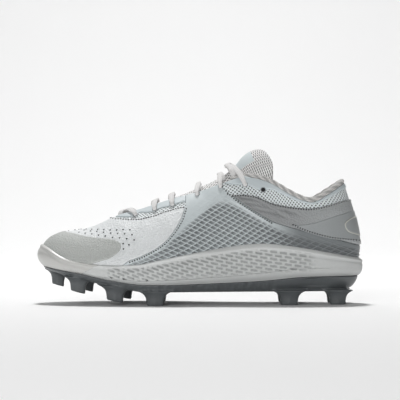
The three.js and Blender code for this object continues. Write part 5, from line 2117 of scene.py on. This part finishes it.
@dataclass
class Lacing:
    """The laces over the tongue and the eyelets that they go through."""

    materials: Materials
    width: float = 5.0
    thick: float = 2.4
    clear: float = 0.65
    pinch: float = 0.28
    under: float = 2.6
    lower: float = 2.0
    arch: float = 10.0
    tuck: float = 0.12
    apart: float = 0.9
    apart_over: float = 0.16
    boxy: float = 2.6
    steps: int = 60
    sides: int = 14
    girth: float = 13.0
    row: float = 0.8

    def lift_beside(self, turn: float, distance: float) -> float:
        """The lift at a distance below the upper's edge, down the side.

        Args:
            turn: Angle round the shoe.
            distance: The distance.

        Returns:
            The lift.
        """
        edge = float(LAST.edge(np.array([turn]))[0])
        lifts = np.linspace(edge, 0, 600)
        p = LAST.point(turn, lifts)
        far = np.linalg.norm(p - p[0], axis=1)
        return float(lifts[np.argmax(far >= distance)])

    def bar(self, side: int, row: tuple[float, float, float, float]) -> tuple[Points, Points]:
        """One bar, from under the throat's edge over the top line and into its eyelet.

        Args:
            side: -1 for the outer side, 1 for the inner one.
            row: Its row of the table.

        Returns:
            Points and quads.
        """
        start, to, down, over = row
        start_turn = -side * float(LAST.turn_at_crest(start))
        start_edge = float(LAST.edge(np.array([start_turn]))[0])
        start_lift = mix(start_edge, QUARTER_TURN, self.tuck)
        end_lift = self.lift_beside(side * float(LAST.turn_at_crest(to)), EYELET_DEPTH * down)
        crossing = (QUARTER_TURN - start_lift) / (2 * QUARTER_TURN - start_lift - end_lift)
        t = np.linspace(0, 1, self.steps)
        past = np.maximum(0, (t - crossing) / (1 - crossing))
        rising = t < crossing
        turn = np.where(rising, -side, side) * LAST.turn_at_crest(mix(start, to, past))
        lift = np.where(rising, mix(start_lift, QUARTER_TURN, np.minimum(1, t / crossing)),
                        mix(QUARTER_TURN, end_lift, past))
        edge = LAST.edge(turn)
        middle = smoothstep(0.0, 1.0, (lift - edge) / (QUARTER_TURN - edge))
        height = WALL + 1.0 + self.clear + self.thick / 2 + self.arch * over * middle
        height = height + side * self.apart * bump(t, crossing, self.apart_over)
        height = height - self.under * (1 - smoothstep(0.0, 0.1, t)) - self.lower * middle * (over == 0)
        path = LAST.skin(turn, lift, height)
        out = LAST.normal(turn, lift)
        ahead = unit(path[-1] - path[-3])
        dive = np.array([path[-1] + ahead * on - out[-1] * drop for on, drop in LACE_DIVE])
        path = np.concatenate([path, dive])
        out = np.concatenate([out, unit(out[-1:] + ahead * 0.7), unit(out[-1:] + ahead * 2.0), ahead[None]])
        wide = self.width * (1 - self.pinch * smoothstep(0.86, 1.03, np.linspace(0, 1.05, len(path))))
        return swept(eased(path, 3), out, wide, self.thick, self.sides, self.boxy)

    def laces(self) -> None:
        """Each pair of bars that cross."""
        material = self.materials.make("lace_finish", LACE_FINISH)
        for i, row in enumerate(LACE_ROWS):
            points, faces = joined([self.bar(side, row) for side in (-1, 1)])
            rings = len(points) // self.sides
            around = np.tile(np.arange(self.sides) / self.sides * self.girth, rings)
            far = np.repeat(np.arange(rings) * self.row, self.sides)
            obj = make_mesh(f"lace_{i + 1}", points, faces, rimless(points, cloth=cloth_map(far, around)))
            finished(obj, material, "lace", f"lace_row_{i + 1}")

    def eyelets(self) -> None:
        """A pressed ring and, as painted shade, a dark disc for the hole at each eyelet."""
        rings, holes = [], []
        places = [(to, down) for _, to, down, _ in LACE_ROWS] + [FREE_EYELET]
        for to, down in places:
            for side in (-1, 1):
                turn = side * float(LAST.turn_at_crest(to))
                lift = self.lift_beside(turn, EYELET_DEPTH * down)
                out = LAST.normal(np.array([turn]), np.array([lift]))[0]
                centre = LAST.point(turn, lift) + out * (WALL + PANEL + EYELET_CLEAR)
                rings.append(turned(centre, out, EYELET_START, RING_PROFILE, EYELET_SIDES))
                holes.append(turned(centre, out, EYELET_START, EYELET_PROFILE, EYELET_SIDES))
        for name, parts, finish in (("eyelet_rings", rings, RING_FINISH),
                                    ("eyelet_holes", holes, HOLE_FINISH)):
            points, faces = joined(parts)
            obj = make_mesh(name, points, faces, rimless(points))
            finished(obj, self.materials.make(f"{name}_finish", finish), "cage")


@dataclass
class Sewing:
    """Threads along the seams, pinholes in the vamp and the cord round the heel patch."""

    materials: Materials
    finder: SideFinder
    length: float = 1.0
    spacing: float = 2.3
    thread: float = 0.5
    rise: float = 0.22
    stitch_points: int = 7
    thread_sides: int = 6
    flatness: float = 0.8
    needle: float = 0.72
    lift: float = 0.08
    lift_on_film: float = 0.1
    lift_on_cage: float = 2.0
    vamp_inset: float = 1.4
    cage_inset: float = 1.5
    heel_inset: float = 1.2
    pinhole: float = 0.8
    pin_step: float = 0.2
    pin_lift: float = 0.1
    piping_end: float = 0.985
    piping_lift: float = 0.25
    piping_width: float = 1.0
    piping_thick: float = 0.9
    piping_sides: int = 8

    def seam(self, line: Points, offset: float, side: Side, creases: list[Crease]) -> tuple[list, list]:
        """Stitches and needle holes along one seam.

        Args:
            line: The line seen from the side.
            offset: Distance from the last.
            side: The side of the shoe.
            creases: Creases that the seam follows.

        Returns:
            The threads and the holes.
        """
        far = travelled(line)
        threads, holes = [], []
        for middle in np.arange(self.spacing / 2, far[-1], self.spacing):
            at = middle + np.linspace(-0.5, 0.5, self.stitch_points) * self.length
            path, out = self.finder.at(read_at(at, far, line), side, offset)
            lifted = relief(path, creases) + self.rise * np.sin(np.linspace(0, math.pi, len(at)))
            path = path + out * lifted[:, None]
            threads.append(swept(path, out, self.thread, self.thread * self.flatness, self.thread_sides))
            holes.append(self.hole(path[-1] + unit(path[-1] - path[0]) * 0.5, out[-1], self.needle))
        return threads, holes

    def hole(self, centre: Points, out: Points, radius: float) -> tuple[Points, Points]:
        """A small dark disc that lies on the surface: painted shade standing for a hole."""
        profile = tuple((radius * share, height) for share, height in HOLE_PROFILE)
        return turned(centre, out, HOLE_START, profile, HOLE_SIDES)

    def build(self) -> None:
        """All seams of both sides."""
        flat = WALL + PANEL + self.lift
        on_film = WALL + PANEL + FILM + self.lift_on_film
        lines = (
            (inset_line(drawn(VAMP_BACK[:-2]), self.vamp_inset, -1), flat, VAMP_CREASES),
            (inset_line(drawn(VAMP_TOP[1:]), self.vamp_inset, 1), flat, VAMP_CREASES),
            (inset_line(drawn(SADDLE_BACK[1:]), self.cage_inset, 1), WALL + self.lift_on_cage, CAGE_CREASES),
            (inset_line(drawn(QUARTER_TOP[:-1]), self.heel_inset, 1), flat, QUARTER_CREASES),
            (inset_line(drawn(COUNTER_LOW), self.heel_inset, 1), on_film, QUARTER_CREASES),
        )
        threads, holes = [], []
        for line, offset, creases in lines:
            for side in (Side.OUTER, Side.INNER):
                sewn, pricked = self.seam(line, offset, side, creases)
                threads += sewn
                holes += pricked
        for name, parts, finish in (("seam_threads", threads, THREAD_FINISH),
                                    ("needle_holes", holes, HOLE_FINISH)):
            points, faces = joined(parts)
            obj = make_mesh(name, points, faces, rimless(points))
            finished(obj, self.materials.make(f"{name}_finish", finish), "leather")

    def pinholes(self) -> None:
        """Rows of pinholes over the toe, on both sides."""
        holes = []
        for side in (Side.OUTER, Side.INNER):
            for first, last, count in PINHOLES:
                middle = mix(np.array(first), np.array(last), 0.5)
                line = smooth_line(np.array([first, middle, last]), self.pin_step)
                at = np.linspace(0, len(line) - 1, count).astype(int)
                points, out = self.finder.at(line[at], side, WALL + PANEL + self.pin_lift)
                points = points + out * relief(points, VAMP_CREASES)[:, None]
                holes += [self.hole(p, n, self.pinhole) for p, n in zip(points, out)]
        points, faces = joined(holes)
        obj = make_mesh("pinholes", points, faces, rimless(points))
        finished(obj, self.materials.make("pinhole_finish", HOLE_FINISH), "leather")

    def piping(self) -> None:
        """The cord round the heel patch."""
        parts = []
        line = drawn(PATCH)
        line = line[line[:, 0] < LAST.x_of(self.piping_end)]
        for side in (Side.OUTER, Side.INNER):
            path, out = self.finder.at(line, side, WALL + PANEL + FILM + self.piping_lift)
            parts.append(swept(path, out, self.piping_width, self.piping_thick, self.piping_sides))
        points, faces = joined(parts)
        obj = make_mesh("patch_piping", points, faces,
                        rimless(points, cloth=cloth_map(points[:, 0], points[:, 2])))
        finished(obj, self.materials.make("piping_finish", PIPING_FINISH), "patch")


# Rows of pinholes: first and last place seen from the side, in millimetres, and how many
PINHOLES = (
    ((-120.5, 64.8), (-62.2, 65.9), 11),
    ((-111.0, 64.6), (-60.4, 62.0), 9),
    ((-109.6, 62.5), (-58.5, 57.6), 9),
    ((-68.0, 54.0), (-63.0, 53.3), 2),
    ((-67.6, 49.6), (-67.4, 49.6), 1),
)


def inset_line(line: Points, distance: float, hand: int) -> Points:
    """Moves a line sideways, to its left or right as it runs."""
    ahead = unit(np.gradient(line, axis=0))
    return line + np.column_stack([ahead[:, 1], -ahead[:, 0]]) * distance * hand


@dataclass(frozen=True)
class Lamp:
    """A large soft light: its place, what it faces, its size in metres and its power in watts."""

    name: str
    place: tuple[float, float, float]
    at: tuple[float, float, float]
    size: float
    power: float


LAMPS = (
    Lamp("overhead", (-0.1, 0.72, 2.05), (0.0, 0.0, 0.04), 0.26, 33.0),
    Lamp("front", (-0.5, -2.1, 0.6), (0.0, 0.0, 0.05), 1.0, 18.5),
    Lamp("backdrop", (0.0, 1.6, 2.2), (0.0, 3.2, 0.5), 2.0, 18.0),
)


@dataclass
class Studio:
    """Camera, soft lights and a pale floor."""

    distance: float = 1.80138
    height: float = 0.0919
    lens: float = 177.0
    sensor: float = 36.0
    drop: float = 3 / 1966.7
    room_light: float = 0.12
    floor_front: float = -3.0
    floor_flat: float = 1.5
    floor_back: float = 2.5
    floor_top: float = 4.0

    def build(self) -> None:
        """Places them."""
        scene = bpy.context.scene
        scene.view_settings.view_transform = "Standard"
        camera = bpy.data.objects.new("camera", bpy.data.cameras.new("camera"))
        camera.data.lens = self.lens
        camera.data.sensor_width = self.sensor
        camera.location = (ORIGIN[0] * MM, -self.distance, self.height)
        camera.rotation_euler = (QUARTER_TURN + self.drop, 0.0, 0.0)
        scene.collection.objects.link(camera)
        scene.camera = camera
        self.floor()
        for lamp in LAMPS:
            self.light(lamp)
        world = bpy.data.worlds.new("room")
        world.use_nodes = True
        background = world.node_tree.nodes["Background"]
        background.inputs["Color"].default_value = (1.0, 1.0, 1.0, 1.0)
        background.inputs["Strength"].default_value = self.room_light
        scene.world = world

    def floor(self) -> None:
        """The floor, which curves up behind the shoe."""
        flat = np.linspace(self.floor_front, self.floor_flat, 10)
        bend = np.linspace(0.1, 1.57, 12)
        depth = np.concatenate([flat, self.floor_flat + np.sin(bend), [self.floor_back]])
        rise = np.concatenate([np.zeros(len(flat)), 1 - np.cos(bend), [self.floor_top]])
        wide = np.linspace(-self.floor_top, self.floor_top, 9)
        points = np.array([[x, y, z] for y, z in zip(depth, rise) for x in wide])
        floor = make_mesh("floor", points / MM - ORIGIN, grid_faces(len(depth), len(wide))[:, ::-1])
        material = bpy.data.materials.new("floor_paper")
        material.use_nodes = True
        w = Wiring(material.node_tree)
        shader = material.node_tree.nodes["Principled BSDF"]
        shader.inputs["Roughness"].default_value = 0.9
        w.join(w.blend(w.noise(3.0), tint(250, 250, 250), tint(252, 252, 252)), shader.inputs["Base Color"])
        floor.data.materials.append(material)

    def light(self, lamp: Lamp) -> None:
        """Adds a light.

        Args:
            lamp: Its place, direction, size and power.
        """
        area = bpy.data.lights.new(lamp.name, "AREA")
        area.energy = lamp.power
        area.size = lamp.size
        obj = bpy.data.objects.new(lamp.name, area)
        obj.location = lamp.place
        obj.rotation_euler = (Vector(lamp.at) - Vector(lamp.place)).to_track_quat("-Z", "Y").to_euler()
        bpy.context.scene.collection.objects.link(obj)


def main() -> None:
    """Builds the studio and every piece of the shoe, then notes the sizes."""
    logging.basicConfig(level=logging.INFO, format="%(name)s: %(message)s")
    Studio().build()
    materials = Materials()
    sheet = Sheet.woven(1.0, 85)
    overlays = Overlays(materials, sheet)
    upper = Upper(materials, overlays)
    upper.wall()
    upper.panels()
    Cage(overlays).build()
    sole = Sole(materials)
    sole.midsole()
    sole.outsole()
    knits = Knits(materials)
    knits.collar()
    knits.tongue()
    knits.insole()
    lacing = Lacing(materials)
    lacing.laces()
    lacing.eyelets()
    sewing = Sewing(materials, SideFinder(sheet))
    sewing.build()
    sewing.pinholes()
    sewing.piping()


if __name__ == "__main__":
    main()
